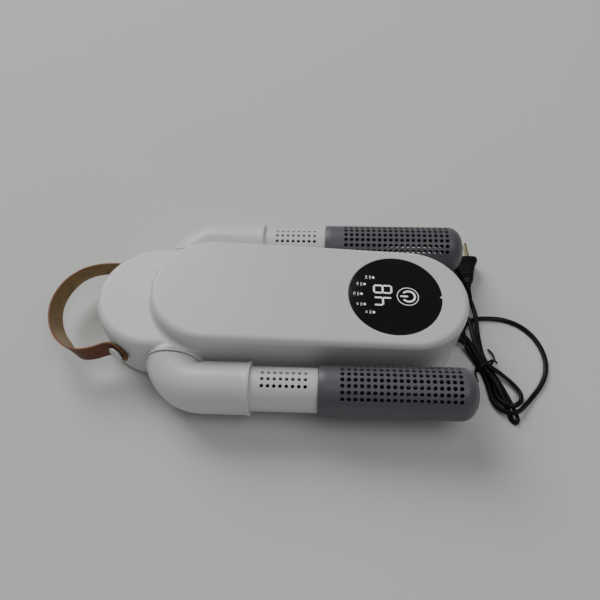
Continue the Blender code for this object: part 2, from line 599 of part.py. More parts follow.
def bend_ring(side, share, inset, count=26):
    """A cross-section of the elbow's bend, from the hub's face (share 0) to its straight end (share 1).

    The outside follows one wide arc, and the inside turns about a point beside the hub.
    """
    reach = BEND_RADIUS + ELBOW_RADIUS
    rise = ARM_Y - BEND_RADIUS
    start = math.asin((HUB_FACE_Y - rise) / reach)
    angle = start + (math.pi / 2 - start) * share
    near_hub = (1 - share) ** 4
    flare = near_hub * (HUB_RADIUS + BEND_RADIUS - reach * math.cos(start))
    outside = Vector((BEND_RADIUS - reach * math.cos(angle) - flare, rise + reach * math.sin(angle)))
    turning, leaving = min(share / 0.6, 1.0), max(share - 0.6, 0.0) / 0.4
    pivot = Vector((HUB_RADIUS, HUB_FACE_Y)) + Vector((0.15, 0.35)) * turning
    inside = pivot.lerp(Vector((BEND_RADIUS, ARM_Y - ELBOW_RADIUS)), leaving)
    middle, across = (outside + inside) / 2, (inside - outside).normalized()
    wide = (inside - outside).length / 2 - inset
    tall = ELBOW_RADIUS + (HUB_RADIUS - ELBOW_RADIUS) * near_hub - inset
    ring = []
    for i in range(count):
        a = 2 * math.pi * i / count
        x, y = middle + across * wide * math.cos(a)
        ring.append((x, side * y, tall * math.sin(a)))
    return ring


def make_elbow(name, side, pivot):
    shares = [i / BEND_STEPS for i in range(BEND_STEPS + 1)]
    lip = ELBOW_END - LIP_WIDTH
    rings = [bend_ring(side, share, 0.0) for share in shares]
    socket = ((ELBOW_RADIUS, lip), (LIP_RADIUS, lip), (LIP_RADIUS, ELBOW_END), (SOCKET_INNER, ELBOW_END),
              (SOCKET_INNER, SOCKET_START), (ELBOW_INNER, SOCKET_START))
    rings += [arm_ring(side, radius, x) for radius, x in socket]
    rings += [bend_ring(side, share, ELBOW_RADIUS - ELBOW_INNER) for share in shares[:0:-1]]
    rings += [level_ring(side, NECK_INNER, HUB_FACE_Y + HUB_PLATE), level_ring(side, NECK_INNER, NECK_END_Y)]
    rings += [level_ring(side, NECK_RADIUS, NECK_END_Y), level_ring(side, NECK_RADIUS, HUB_FACE_Y)]
    add_object(f"{name}_elbow", loft(bmesh.new(), rings, closed=True), WHITE, pivot)
    high = NECK_END_Y - GAP
    low = high - RETAINER_THICK
    ring = [(NECK_INNER, low), (RETAINER_RADIUS, low), (RETAINER_RADIUS, high), (NECK_INNER, high)]
    add_object(f"{name}_retaining_ring", aim(turned(ring, 20), (0, side, 0)), STEEL, pivot)


def row_lines(centres, half_width, fill_step):
    """Angles of the two edges of each row of holes, with more between rows that lie far apart, in degrees."""
    edges = sorted(c + s * half_width for c in centres for s in (-1, 1))
    lines = []
    for first, second in zip(edges, edges[1:] + [edges[0] + 360.0]):
        parts = max(1, round((second - first) / fill_step))
        lines += [first + (second - first) * i / parts for i in range(parts)]
    return lines


def pierced_arm_tube(stations_before, first, size, columns, pitch, rows, half_angle, tail, end_cap=None):
    """A wall along Z with a grid of holes: rows are their directions in degrees about Z."""
    lines = row_lines(rows, half_angle, 15.0)
    starts = {min(range(len(lines)), key=lambda k: abs(lines[k] - (row - half_angle))) for row in rows}
    outer, inner = stations_before[-1][1:]
    stations = list(stations_before)
    holes = set()
    for i in range(columns):
        centre = first + i * pitch
        holes |= {(len(stations), j) for j in starts}
        stations += [(centre - size / 2, outer, inner), (centre + size / 2, outer, inner)]
    stations += tail
    return pierced_shell(stations, [math.radians(line) for line in lines], holes, end_cap)


def along_arm(bm, name):
    """Moves a shape made about Z, with its 0 degree line up, onto an arm's centre line."""
    turn = Matrix(((0, 0, 1, DRAWN_OUT[name]), (0, 1, 0, SIDES[name] * ARM_Y), (1, 0, 0, 0), (0, 0, 0, 1)))
    bmesh.ops.transform(bm, matrix=turn, verts=bm.verts)
    return bm


def spread_evenly(count, step):
    return [(i - (count - 1) / 2) * step for i in range(count)]


def make_tube(name, pivot):
    rows = spread_evenly(TUBE_HOLE_ROWS, TUBE_ROW_STEP)
    half_angle = math.degrees(TUBE_HOLE / 2 / TUBE_RADIUS)
    low, high = RING_X - RING_GROOVE_HALF, RING_X + RING_GROOVE_HALF
    tail = [(low - 0.1, TUBE_RADIUS, TUBE_INNER), (low, RING_GROOVE_RADIUS, TUBE_INNER),
            (high, RING_GROOVE_RADIUS, TUBE_INNER), (high + 0.1, TUBE_RADIUS, TUBE_INNER),
            (TUBE_X[1], TUBE_RADIUS, TUBE_INNER)]
    tube = pierced_arm_tube([(TUBE_X[0], TUBE_RADIUS, TUBE_INNER)], TUBE_FIRST_HOLE, TUBE_HOLE,
                            TUBE_HOLE_COLUMNS, TUBE_PITCH, rows, half_angle, tail)
    add_object(f"{name}_tube", along_arm(tube, name), WHITE, pivot)
    (inner, outer), low, high = RING_RADII, RING_X - RING_HALF, RING_X + RING_HALF
    ring = turned([(outer, low), (outer, high), (inner, high), (inner, low)], 24)
    add_object(f"{name}_tube_ring", along_arm(ring, name), RUBBER, pivot)


def make_nozzle(name, pivot):
    band = [NOZZLE_ROW_CENTRE + angle for angle in spread_evenly(NOZZLE_ROWS, NOZZLE_ROW_STEP)]
    rows = band + [angle + 180.0 for angle in band]
    half_angle = math.degrees(NOZZLE_HOLE / 2 / NOZZLE_RADIUS)
    dome_start = NOZZLE_X[1] - NOZZLE_RADIUS
    dome_reach = NOZZLE_RADIUS - 0.9
    tail = []
    for i in range(5):
        angle = math.radians(90.0 * i / 5)
        tail.append((dome_start + dome_reach * math.sin(angle), NOZZLE_RADIUS * math.cos(angle),
                     NOZZLE_INNER * math.cos(angle)))
    nozzle = pierced_arm_tube([(NOZZLE_X[0], NOZZLE_RADIUS, NOZZLE_INNER)], NOZZLE_FIRST_HOLE, NOZZLE_HOLE,
                              NOZZLE_COLUMNS, NOZZLE_PITCH, rows, half_angle, tail,
                              (NOZZLE_X[1], NOZZLE_X[1] - NOZZLE_TIP_WALL))
    add_object(f"{name}_nozzle", along_arm(nozzle, name), GREY, pivot)


def make_arms():
    for name, side in SIDES.items():
        pivot = empty(f"{name}_arm_pivot", (PIVOT_X, 0.0, PIVOT_Z), (0.0, -ARM_TILT, 0.0))
        make_collar(name, side)
        make_elbow(name, side, pivot)
        make_tube(name, pivot)
        make_nozzle(name, pivot)


def stud_direction(side):
    return (-math.cos(STUD_ANGLE), side * math.sin(STUD_ANGLE), 0.0)


def make_studs():
    inside, seat, under_head, rim, top = STUD_REACH
    profile = ((STUD_PEG_RADIUS, inside), (STUD_PEG_RADIUS, seat), (STUD_SHANK, seat),
               (STUD_SHANK, under_head), (STUD_HEAD, under_head), (STUD_HEAD, rim),
               (STUD_HEAD - STUD_BEVEL, top))
    for name, side in SIDES.items():
        stud = loft(bmesh.new(), [circle(radius, z, 24) for radius, z in profile])
        add_object(f"{name}_strap_stud", aim(stud, stud_direction(side), (TAIL[0], 0, STUD_Z)), WHITE)


def smooth_through(points, pieces):
    """Points on a Catmull-Rom curve through the given points, with pieces to each stretch."""
    given = np.array(points, float)
    ends = [2 * given[0] - given[1], *given, 2 * given[-1] - given[-2]]
    found = []
    for p0, p1, p2, p3 in zip(ends, ends[1:], ends[2:], ends[3:]):
        for i in range(pieces):
            t = i / pieces
            found.append(0.5 * (2 * p1 + (p2 - p0) * t + (2 * p0 - 5 * p1 + 4 * p2 - p3) * t**2
                                + (3 * p1 - p0 - 3 * p2 + p3) * t**3))
    return np.array([*found, given[-1]])


def evenly(points, count):
    """Points at equal distances along a line through many points."""
    walked = np.concatenate([[0.0], np.cumsum(np.linalg.norm(np.diff(points, axis=0), axis=1))])
    wanted = np.linspace(0.0, walked[-1], count)
    return np.stack([np.interp(wanted, walked, points[:, i]) for i in range(points.shape[1])], axis=1)


def make_strap():
    """A flat leather band bent into a U, one end under each stud's head."""
    axis_x = TAIL[0] + STRAP_REACH * stud_direction(1.0)[0]
    anchor = empty("strap_axis", (axis_x, 0.0, STUD_Z))
    plan = smooth_through(STRAP_PLAN, 2)
    ahead = np.gradient(plan[:, :2], axis=0)
    across = np.stack([-ahead[:, 1], ahead[:, 0]], axis=1) / np.linalg.norm(ahead, axis=1)[:, None]
    rings = []
    for i, ((x, y, lean), out) in enumerate(zip(plan, across)):
        corner = STRAP_END_DROP if i in (0, len(plan) - 1) else 0.0
        ring = []
        for face, edge in ((-1, -1), (1, -1), (1, 1), (-1, 1)):
            shift = face * STRAP_THICK / 2 + edge * lean
            ring.append((x - axis_x + out[0] * shift, y + out[1] * shift, edge * (STRAP_WIDTH / 2 - corner)))
        rings.append(ring)
    strap = add_object("carry_strap", loft(bmesh.new(), rings), LEATHER, anchor)
    for name, side in SIDES.items():
        hole = drum(bmesh.new(), STRAP_HOLE, STUD_REACH[0], STUD_REACH[-1], count=20)
        aim(hole, stud_direction(side), (TAIL[0] - axis_x, 0, 0))
        combine(strap, "DIFFERENCE", add_object(f"{name}_strap_hole", hole, None))


def tube_along(path, radii, count=16):
    """A solid with round sections of changing radius along a path."""
    points = [Vector(point) for point in path]
    rings = []
    for i, point in enumerate(points):
        ahead = (points[min(i + 1, len(points) - 1)] - points[max(i - 1, 0)]).normalized()
        level = Vector((0, 0, 1)).cross(ahead).normalized()
        rise = ahead.cross(level)
        rings.append([point + radii[i] * (math.cos(a) * level + math.sin(a) * rise)
                      for a in (2 * math.pi * k / count for k in range(count))])
    return loft(bmesh.new(), rings)


def make_cord():
    add_object("cord_strain_relief", tube_along(RELIEF_PATH, RELIEF_RADII), CORD_PVC)
    route = evenly(smooth_through(CORD_ROUTE, 12), CORD_STEPS)
    curve = bpy.data.curves.new("power_cord", "CURVE")
    curve.dimensions = "3D"
    curve.bevel_depth = CORD_DIAMETER / 2 * MM
    curve.bevel_resolution = 2
    curve.use_fill_caps = True
    spline = curve.splines.new("POLY")
    spline.points.add(len(route) - 1)
    for point, place in zip(spline.points, route):
        point.co = (*(place * MM), 1.0)
    curve.materials.append(material(*CORD_PVC))
    bpy.context.scene.collection.objects.link(bpy.data.objects.new("power_cord", curve))


def rounded_square(turn):
    """How much further out than a circle a rounded square reaches, in one direction."""
    return (abs(math.cos(turn)) ** SQUARENESS + abs(math.sin(turn)) ** SQUARENESS) ** (-1 / SQUARENESS)


def make_tie():
    """A flat band round the bundle of cord."""
    count = 24
    rings = []
    for out, half in ((0.0, -0.5), (TIE_THICK, -0.5), (TIE_THICK, 0.5), (0.0, 0.5)):
        ring = []
        for i in range(count):
            a = 2 * math.pi * i / count
            tall, wide = (TIE_HOLE[1] + out) * rounded_square(a), (TIE_HOLE[0] + out) * rounded_square(a)
            ring.append((tall * math.cos(a), wide * math.sin(a), half * TIE_WIDTH))
        rings.append(ring)
    ahead = Vector(TIE_DIRECTION).normalized()
    up = Vector((0, 0, 1))
    turn = Matrix((up, ahead.cross(up), ahead)).transposed().to_4x4()
    band = loft(bmesh.new(), rings, closed=True)
    bmesh.ops.transform(band, matrix=Matrix.Translation(Vector(TIE_AT)) @ turn, verts=band.verts)
    add_object("twist_tie", band, BLACK_PLASTIC)


def make_plug():
    """A plug body that goes from a round tail to a wide, rounded-square face, with its two blades."""
    count = 24
    tail = empty("plug_tail", PLUG_TAIL, (0.0, 0.0, PLUG_TURN))
    rings = []
    for y, half_x, half_z in PLUG_SECTIONS:
        ring = []
        for i in range(count):
            a = 2 * math.pi * i / count
            out = rounded_square(a) if y > ROUND_TAIL_END else 1.0
            ring.append((half_x * out * math.cos(a), y, half_z * out * math.sin(a)))
        rings.append(ring)
    add_object("plug_body", loft(bmesh.new(), rings), CORD_PVC, tail)
    face = PLUG_SECTIONS[-1][0] + GAP
    for i, side in enumerate((-1, 1)):
        x = side * BLADE_SPREAD
        blade = box(bmesh.new(), (x - BLADE_SIZE[0] / 2, face, -BLADE_SIZE[2] / 2),
                    (x + BLADE_SIZE[0] / 2, face + BLADE_SIZE[1], BLADE_SIZE[2] / 2))
        add_object(f"plug_blade_{i + 1}", blade, BRASS, tail)


def main():
    for old in list(bpy.data.objects):
        bpy.data.objects.remove(old)
    make_housing()
    make_bottom_cover()
    make_feet_and_screws()
    make_panel_and_boards()
    make_impeller(make_blower())
    make_heater()
    make_manifold()
    make_arms()
    make_studs()
    make_strap()
    make_cord()
    make_tie()
    make_plug()


main()
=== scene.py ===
"""Looks of a folding boot dryer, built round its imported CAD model.

Lengths are in millimetres in the CAD's own frame and become metres when a mesh is made: +X runs along the
body towards the nozzle tips, +Y to the right arm, +Z up, and Z = 0 is the surface under the feet.
"""

import json
import math

import bmesh
import bpy
import numpy as np
from mathutils import Matrix, Vector


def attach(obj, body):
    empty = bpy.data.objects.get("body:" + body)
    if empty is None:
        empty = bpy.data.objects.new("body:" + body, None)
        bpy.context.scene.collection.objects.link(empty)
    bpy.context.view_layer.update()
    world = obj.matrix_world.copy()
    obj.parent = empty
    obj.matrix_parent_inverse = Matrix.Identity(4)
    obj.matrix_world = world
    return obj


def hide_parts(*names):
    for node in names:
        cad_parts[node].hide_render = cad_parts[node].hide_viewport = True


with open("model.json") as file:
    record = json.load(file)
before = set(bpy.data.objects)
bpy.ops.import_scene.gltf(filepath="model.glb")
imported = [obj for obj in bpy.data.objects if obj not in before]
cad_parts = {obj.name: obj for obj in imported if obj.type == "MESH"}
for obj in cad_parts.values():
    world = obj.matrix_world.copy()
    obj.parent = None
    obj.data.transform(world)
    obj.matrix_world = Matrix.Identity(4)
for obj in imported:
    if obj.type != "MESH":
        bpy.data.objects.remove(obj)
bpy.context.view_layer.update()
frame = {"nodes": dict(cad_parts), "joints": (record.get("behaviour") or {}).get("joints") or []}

MM = 0.001
FULL_TURN = 2 * math.pi
SIDES = {"left": -1.0, "right": 1.0}
JOINTS = {joint["name"]: joint for joint in frame["joints"]}

# Camera and surroundings
CAMERA_AT = (33.26, -259.27, 415.34)
CAMERA_ELEVATION = math.radians(54.92)
CAMERA_YAW = math.radians(1.19)
CAMERA_ROLL = math.radians(1.859)
CAMERA_LENS = 36.79
FLOOR_REACH = 3000.0

# Housing
TIP = (107.7, 42.5)
TAIL = (-77.5, 45.5)
RAISED_TAIL = (-36.2, 44.83)
TOP_Z = 58.0
LEDGE_Z = 45.0
BOTTOM_Z = 2.0
DRAFT = 1.2
TOP_ROUND = 5.0
LEDGE_ROUND = 6.0
STEP_FILLET = 3.9
RIM_ROUND = 0.5
WALL = 2.2
TOP_WALL = 3.2
NET_STEP = 1.25
BOSS_RADIUS = 21.4
BOSS_SLOPE = 0.12
BOSS_BLEND = 0.8

# Panel
PANEL_X = 96.2
PANEL_RADIUS = 33.6
PANEL_GAP = 0.3
PANEL_RECESS = 1.5
PANEL_THICK = 1.2
PANEL_ROUND = 0.25
TOOTH_HALF_WIDTH = 1.6
TOOTH_DEPTH = 2.3
PRINT_LIFT = 0.01
PRINT_THICK = 0.03

# Arms, along each from its pivot
PIVOT = Vector(JOINTS["left_arm_swing"]["pos_m"]) / MM
ARM_AXIS = Vector(JOINTS["left_tube_turn"]["axis"])
ARM_TILT = math.atan2(ARM_AXIS.z, ARM_AXIS.x)
WALL_Y = 45.2
ARM_Y = 64.4
HUB_FACE_Y = 47.6
HUB_RADIUS = 20.2
BEND_RADIUS = 24.0
ELBOW_RADIUS = 18.5
LIP_RADIUS = 19.0
LIP_WIDTH = 2.4
ELBOW_INNER = 15.4
SOCKET_INNER = 16.0
SOCKET_START = 41.7
ELBOW_END = 57.9
NECK_RADIUS = 12.6
NECK_INNER = 10.8
NECK_END_Y = 34.5
HUB_PLATE = 1.2
COLLAR_RADIUS = 21.4
COLLAR_FACE_Y = 47.0
SEAL_RADII = (13.2, 17.0)
COLLAR_SLEEVE = 14.3
SLEEVE_END_Y = 35.2
DRAWN_OUT = {"left": 0.0, "right": 1.9}
TUBE_X = (42.0, 144.8)
TUBE_RADIUS = 15.7
TUBE_INNER = 13.8
# A tube's faces turned further in than this are painted black as shade.
FACES_IN = -0.3  # cosine between a normal and the way out from the arm's axis
TUBE_HOLE = 1.28
TUBE_COLUMNS = 8
TUBE_ROWS = 3
TUBE_ROW_STEP = 19.0
TUBE_FIRST_HOLE = 66.6
TUBE_PITCH = 4.25
GROOVE_X = (134.5, 137.5)
GROOVE_RADIUS = 14.9
NOZZLE_X = (104.8, 215.2)
NOZZLE_RADIUS = 18.42
NOZZLE_INNER = 16.5
NOZZLE_FIRST_HOLE = 121.3
NOZZLE_HOLE = 1.48
NOZZLE_COLUMNS = 19
NOZZLE_PITCH = 4.4
NOZZLE_ROWS = 8
NOZZLE_ROW_STEP = 14.3
NOZZLE_ROW_CENTRE = 5.5

# Strap and studs
STUD_ANGLE = math.radians(56.9)
STUD_Z = 24.5
STUD_HEAD = 6.2
STUD_HEAD_REACH = (48.4, 50.1)
STUD_SHANK = 2.8
STRAP_HOLE = 4.0
STRAP_THICK = 1.6
STRAP_WIDTH = 17.0
STRAP_PLAN = (  # x, y, and how far the top edge leans out from the middle
    (-95.2, -43.8, 0.0), (-99.2, -41.4, 0.0), (-103.0, -39.0, 0.0), (-107.2, -36.7, 0.0),
    (-112.4, -37.2, 0.0),
    (-121.0, -41.0, 0.2), (-130.0, -42.4, 0.8), (-138.0, -39.0, 2.5), (-144.6, -32.6, 3.8),
    (-150.7, -25.0, 3.4), (-154.9, -16.5, 2.8), (-157.6, -6.0, 2.0), (-157.6, 5.0, 1.0), (-154.2, 17.0, 0.0),
    (-146.9, 27.6, -1.2), (-138.5, 33.2, -1.6), (-129.0, 36.0, -1.5), (-119.0, 36.6, -1.0),
    (-112.2, 36.0, -0.4), (-107.3, 36.9, 0.0), (-103.0, 39.0, 0.0), (-99.2, 41.4, 0.0), (-95.2, 43.8, 0.0),
)

# Cord, its strain relief, tie and plug
CORD_CORE = 1.22
CORD_CORE_OFFSET = 0.63
CORD_STEPS = 620
RELIEF_PATH = (
    (146.6, -2.0, 7.0), (149.4, -2.0, 7.0), (149.6, -2.0, 7.0), (152.2, -2.1, 7.0), (155.2, -2.9, 6.7),
    (156.9, -4.2, 6.3), (158.0, -6.1, 5.8),
)
CORD_ROUTE = (
    (158.7, -7.2, 5.3), (161.6, -12.8, 3.5), (165.0, -19.0, 2.7),
    (168.6, -25.7, 2.6), (171.6, -34.0, 1.8), (173.2, -43.0, 1.7), (174.6, -51.5, 1.9), (178.2, -58.6, 3.7),
    (184.6, -62.6, 5.4), (191.6, -60.8, 5.4), (198.0, -54.8, 3.7), (205.2, -46.6, 1.9), (212.6, -37.4, 1.7),
    (218.2, -26.6, 1.7), (220.2, -14.6, 1.7), (218.4, -2.6, 1.7), (213.0, 8.2, 1.7), (204.4, 16.4, 1.7),
    (193.4, 21.0, 1.7), (182.0, 22.0, 1.7), (171.0, 20.8, 1.7), (162.6, 16.6, 1.7), (159.0, 9.0, 1.7),
    (160.2, 0.4, 1.7), (163.6, -7.6, 1.7), (167.4, -15.8, 2.2),
    (171.6, -24.0, 2.6), (175.0, -32.0, 2.0), (176.6, -40.4, 1.7), (177.9, -48.2, 2.2), (181.6, -54.4, 4.2),
    (188.0, -57.0, 5.4), (194.2, -52.6, 5.2), (195.6, -44.8, 3.6), (190.8, -36.8, 3.2), (182.6, -30.0, 4.6),
    (173.1, -23.2, 5.9), (168.8, -14.4, 5.8), (166.3, -5.0, 5.3), (165.1, 5.4, 5.2), (164.2, 15.0, 5.1),
    (161.4, 21.8, 4.9), (156.4, 23.6, 4.6), (152.0, 20.2, 4.4), (152.0, 14.0, 4.4), (154.8, 7.4, 4.6),
    (159.2, 0.8, 5.2), (162.5, -6.2, 5.9), (165.5, -14.6, 6.1),
    (170.1, -24.8, 5.9), (174.4, -32.4, 5.5), (177.9, -38.4, 4.9), (180.6, -44.2, 3.0), (183.0, -50.2, 1.7),
    (184.6, -56.0, 1.7), (185.6, -61.4, 1.7), (186.6, -66.0, 1.7), (189.3, -68.6, 1.7), (191.4, -65.8, 1.7),
    (190.4, -60.6, 1.7), (188.9, -55.2, 1.7), (187.0, -49.4, 1.7), (184.4, -43.0, 1.7), (181.4, -36.4, 1.9),
    (178.0, -29.4, 2.2), (174.6, -22.3, 2.6), (171.9, -13.2, 2.0), (170.8, -3.0, 1.7), (170.2, 7.0, 2.0),
    (169.9, 14.6, 3.6), (169.6, 21.2, 5.1), (168.2, 29.4, 5.8), (166.0, 36.6, 7.2),
)
TIE_AT = (171.6, -24.0, 4.95)
TIE_DIRECTION = (0.486, -0.874, 0.0)
TIE_HOLE = (6.9, 4.2)
TIE_THICK = 0.6
TIE_WIDTH = 1.9
PLUG_TAIL = (165.8, 37.6, 7.4)
PLUG_TURN = math.radians(4.5)


# ---------------------------------------------------------------- meshes

class Shape:
    """Points in millimetres and faces of a mesh that is being made."""

    def __init__(self):
        self.points, self.faces = [], []

    def ring(self, places):
        start = len(self.points)
        self.points += [tuple(place) for place in places]
        return list(range(start, len(self.points)))

    def bridge(self, first, second, closed=True):
        count = len(first)
        for i in range(count if closed else count - 1):
            j = (i + 1) % count
            self.faces.append((first[i], first[j], second[j], second[i]))

    def loft(self, rings, caps=True, closed=False):
        """Faces through rings of equally many points, ended by caps or closed on itself."""
        made = [self.ring(ring) for ring in rings]
        for first, second in zip(made, made[1:]):
            self.bridge(first, second)
        if closed:
            self.bridge(made[-1], made[0])
        elif caps:
            self.faces += [tuple(made[0][::-1]), tuple(made[-1])]
        return self

    def placed(self, matrix):
        self.points = [tuple(matrix @ Vector(point)) for point in self.points]
        return self


def mesh_from(name, points, faces, sharp=30.0):
    mesh = bpy.data.meshes.new(name)
    mesh.from_pydata([tuple(c * MM for c in point) for point in points], [], faces)
    shape = bmesh.new()
    shape.from_mesh(mesh)
    bmesh.ops.recalc_face_normals(shape, faces=shape.faces)
    shape.to_mesh(mesh)
    shape.free()
    mesh.shade_smooth()
    mesh.set_sharp_from_angle(angle=math.radians(sharp))
    return mesh


def show(name, shape, look, body, *nodes, slot=None, sharp=30.0):
    """A shown piece of the object, which rides on a body and may stand for CAD nodes."""
    mesh = shape if isinstance(shape, bpy.types.Mesh) else mesh_from(name, shape.points, shape.faces, sharp)
    made = bpy.data.objects.new(name, mesh)
    bpy.context.scene.collection.objects.link(made)
    mesh.materials.clear()
    for each in look if isinstance(look, (list, tuple)) else [look]:
        mesh.materials.append(each)
    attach(made, body)
    if nodes:
        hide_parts(*nodes)
    return made


def circle(radius, z, count, centre=(0.0, 0.0)):
    turns = [FULL_TURN * i / count for i in range(count)]
    return [(centre[0] + radius * math.cos(a), centre[1] + radius * math.sin(a), z) for a in turns]


def turned(profile, count=64, closed=True):
    """A solid turned about Z from a profile of (radius, height) points that stay off the axis."""
    return Shape().loft([circle(radius, z, count) for radius, z in profile], closed=closed)


def corner(centre, radius, start, end, steps=4):
    """Points of a round corner of a profile, from one direction in degrees to another."""
    turns = [math.radians(start + (end - start) * i / steps) for i in range(steps + 1)]
    return [(centre[0] + radius * math.cos(a), centre[1] + radius * math.sin(a)) for a in turns]


def aimed(direction, origin=(0.0, 0.0, 0.0)):
    """The placing that turns a shape made about Z so that it runs along direction from origin."""
    turn = Vector((0, 0, 1)).rotation_difference(Vector(direction)).to_matrix().to_4x4()
    return Matrix.Translation(Vector(origin)) @ turn


def on_arm(name):
    """The placing of a shape made about Z, with its 0 degree line up, on an arm's centre line."""
    turn = Matrix(((0, 0, 1, DRAWN_OUT[name]), (0, 1, 0, SIDES[name] * ARM_Y), (1, 0, 0, 0), (0, 0, 0, 1)))
    return at_pivot() @ turn


def at_pivot():
    return Matrix.Translation(Vector((PIVOT.x, 0.0, PIVOT.z))) @ Matrix.Rotation(-ARM_TILT, 4, "Y")


def smooth_through(points, pieces):
    """Points on a Catmull-Rom curve through the given points, with pieces to each stretch."""
    given = np.array(points, float)
    ends = [2 * given[0] - given[1], *given, 2 * given[-1] - given[-2]]
    found = []
    for p0, p1, p2, p3 in zip(ends, ends[1:], ends[2:], ends[3:]):
        for i in range(pieces):
            t = i / pieces
            found.append(0.5 * (2 * p1 + (p2 - p0) * t + (2 * p0 - 5 * p1 + 4 * p2 - p3) * t**2
                                + (3 * p1 - p0 - 3 * p2 + p3) * t**3))
    return np.array([*found, given[-1]])


def walked(points):
    return np.concatenate([[0.0], np.cumsum(np.linalg.norm(np.diff(points, axis=0), axis=1))])


def evenly(points, count):
    """Points at equal distances along a line through many points."""
    along = walked(points)
    wanted = np.linspace(0.0, along[-1], count)
    return np.stack([np.interp(wanted, along, points[:, i]) for i in range(points.shape[1])], axis=1)


def swept(path, outline_at):
    """A solid along a path. outline_at(i) gives its outline as (sideways, upwards) points."""
    points = [Vector(point) for point in path]
    rings = []
    for i, point in enumerate(points):
        ahead = (points[min(i + 1, len(points) - 1)] - points[max(i - 1, 0)]).normalized()
        level = Vector((0, 0, 1)).cross(ahead).normalized()
        rise = ahead.cross(level)
        rings.append([point + a * level + b * rise for a, b in outline_at(i)])
    return Shape().loft(rings)


# ---------------------------------------------------------------- materials

def add_node(tree, kind, inputs=(), **settings):
    made = tree.nodes.new(kind)
    for name, value in settings.items():
        setattr(made, name, value)
    for name, value in dict(inputs).items():
        if isinstance(value, bpy.types.NodeSocket):
            tree.links.new(value, made.inputs[name])
        else:
            made.inputs[name].default_value = value
    return made


def start_material(name, **sockets):
    """A material with a Principled shader, its even values set on the shader, and object coordinates."""
    made = bpy.data.materials.new(name)
    made.use_nodes = True
    shader = made.node_tree.nodes["Principled BSDF"]
    for socket, value in sockets.items():
        shader.inputs[socket.replace("_", " ")].default_value = value
    place = add_node(made.node_tree, "ShaderNodeTexCoord").outputs["Object"]
    return made, made.node_tree, shader, place


def noise(tree, place, scale, detail=3.0, roughness=0.55, **settings):
    inputs = {"Vector": place, "Scale": scale, "Detail": detail, "Roughness": roughness}
    return add_node(tree, "ShaderNodeTexNoise", inputs, **settings).outputs["Fac"]


def spread(tree, value, low, high, start=0.3, end=0.7):
    inputs = {"Value": value, "From Min": start, "From Max": end, "To Min": low, "To Max": high}
    return add_node(tree, "ShaderNodeMapRange", inputs).outputs["Result"]


def between(tree, value, first, second):
    ramp = add_node(tree, "ShaderNodeValToRGB", {"Fac": value})
    for stop, colour in zip(ramp.color_ramp.elements, (first, second)):
        stop.color = (*colour, 1.0)
    return ramp.outputs["Color"]


def bumped(tree, shader, height, depth, strength=1.0, under=None):
    """Gives the shader small relief, depth in millimetres, over other relief."""
    inputs = {"Height": height, "Distance": depth * MM, "Strength": strength}
    if under is not None:
        inputs["Normal"] = under
    bump = add_node(tree, "ShaderNodeBump", inputs).outputs["Normal"]
    tree.links.new(bump, shader.inputs["Normal"])
    return bump


def moulded(name, colour, roughness, grain=0.012, grain_scale=2600.0, mottle=0.03, **sockets):
    """Moulded plastic: fine texture, faint flow marks and dust, and uneven sheen."""
    made, tree, shader, place = start_material(name, **sockets)
    flow = noise(tree, place, 28.0, 4.0)
    dust = noise(tree, place, 900.0, 2.0)
    mixed = add_node(tree, "ShaderNodeMath", {0: flow, 1: dust}, operation="MULTIPLY_ADD")
    mixed.inputs[2].default_value = 0.22
    dark = tuple(c * (1 - mottle) for c in colour)
    tone = between(tree, spread(tree, mixed.outputs[0], 0.0, 1.0, 0.25, 0.75), dark, colour)
    tree.links.new(tone, shader.inputs["Base Color"])
    sheen = spread(tree, noise(tree, place, 75.0, 5.0), roughness * 0.86, roughness * 1.16)
    tree.links.new(sheen, shader.inputs["Roughness"])
    waves = bumped(tree, shader, noise(tree, place, 60.0, 2.0), 0.02)
    bumped(tree, shader, noise(tree, place, grain_scale, 2.0), grain, under=waves)
    return made


def brushed(name, colour, roughness, scale=1500.0):
    """Bare metal with fine marks and uneven polish."""
    made, tree, shader, place = start_material(name, Metallic=1.0)
    marks = noise(tree, place, scale, 3.0)
    tarnish = noise(tree, place, 160.0, 4.0)
    dull = tuple(c * 0.8 for c in colour)
    tree.links.new(between(tree, spread(tree, tarnish, 0.0, 1.0), dull, colour), shader.inputs["Base Color"])
    tree.links.new(spread(tree, marks, roughness * 0.7, roughness * 1.4), shader.inputs["Roughness"])
    bumped(tree, shader, marks, 0.01)
    return made


def panel_gloss():
    """Black acrylic: polished, with faint finger marks that show only in its gloss."""
    made, tree, shader, place = start_material("panel_gloss", Specular_IOR_Level=0.4)
    smear = noise(tree, place, 55.0, 6.0, 0.65)
    tree.links.new(spread(tree, smear, 0.10, 0.20, 0.4, 0.75), shader.inputs["Roughness"])
    tone = between(tree, smear, (0.0075, 0.0065, 0.0055), (0.010, 0.009, 0.008))
    tree.links.new(tone, shader.inputs["Base Color"])
    bumped(tree, shader, noise(tree, place, 40.0, 2.0), 0.004)
    return made


def lit_print():
    """Light shining through the panel."""
    made, tree, shader, place = start_material("lit_print", Roughness=0.4, Emission_Strength=0.42)
    glow = spread(tree, noise(tree, place, 400.0, 2.0), 0.85, 1.0)
    tone = between(tree, glow, (0.60, 0.62, 0.60), (0.80, 0.82, 0.80))
    tree.links.new(tone, shader.inputs["Base Color"])
    tree.links.new(tone, shader.inputs["Emission Color"])
    return made


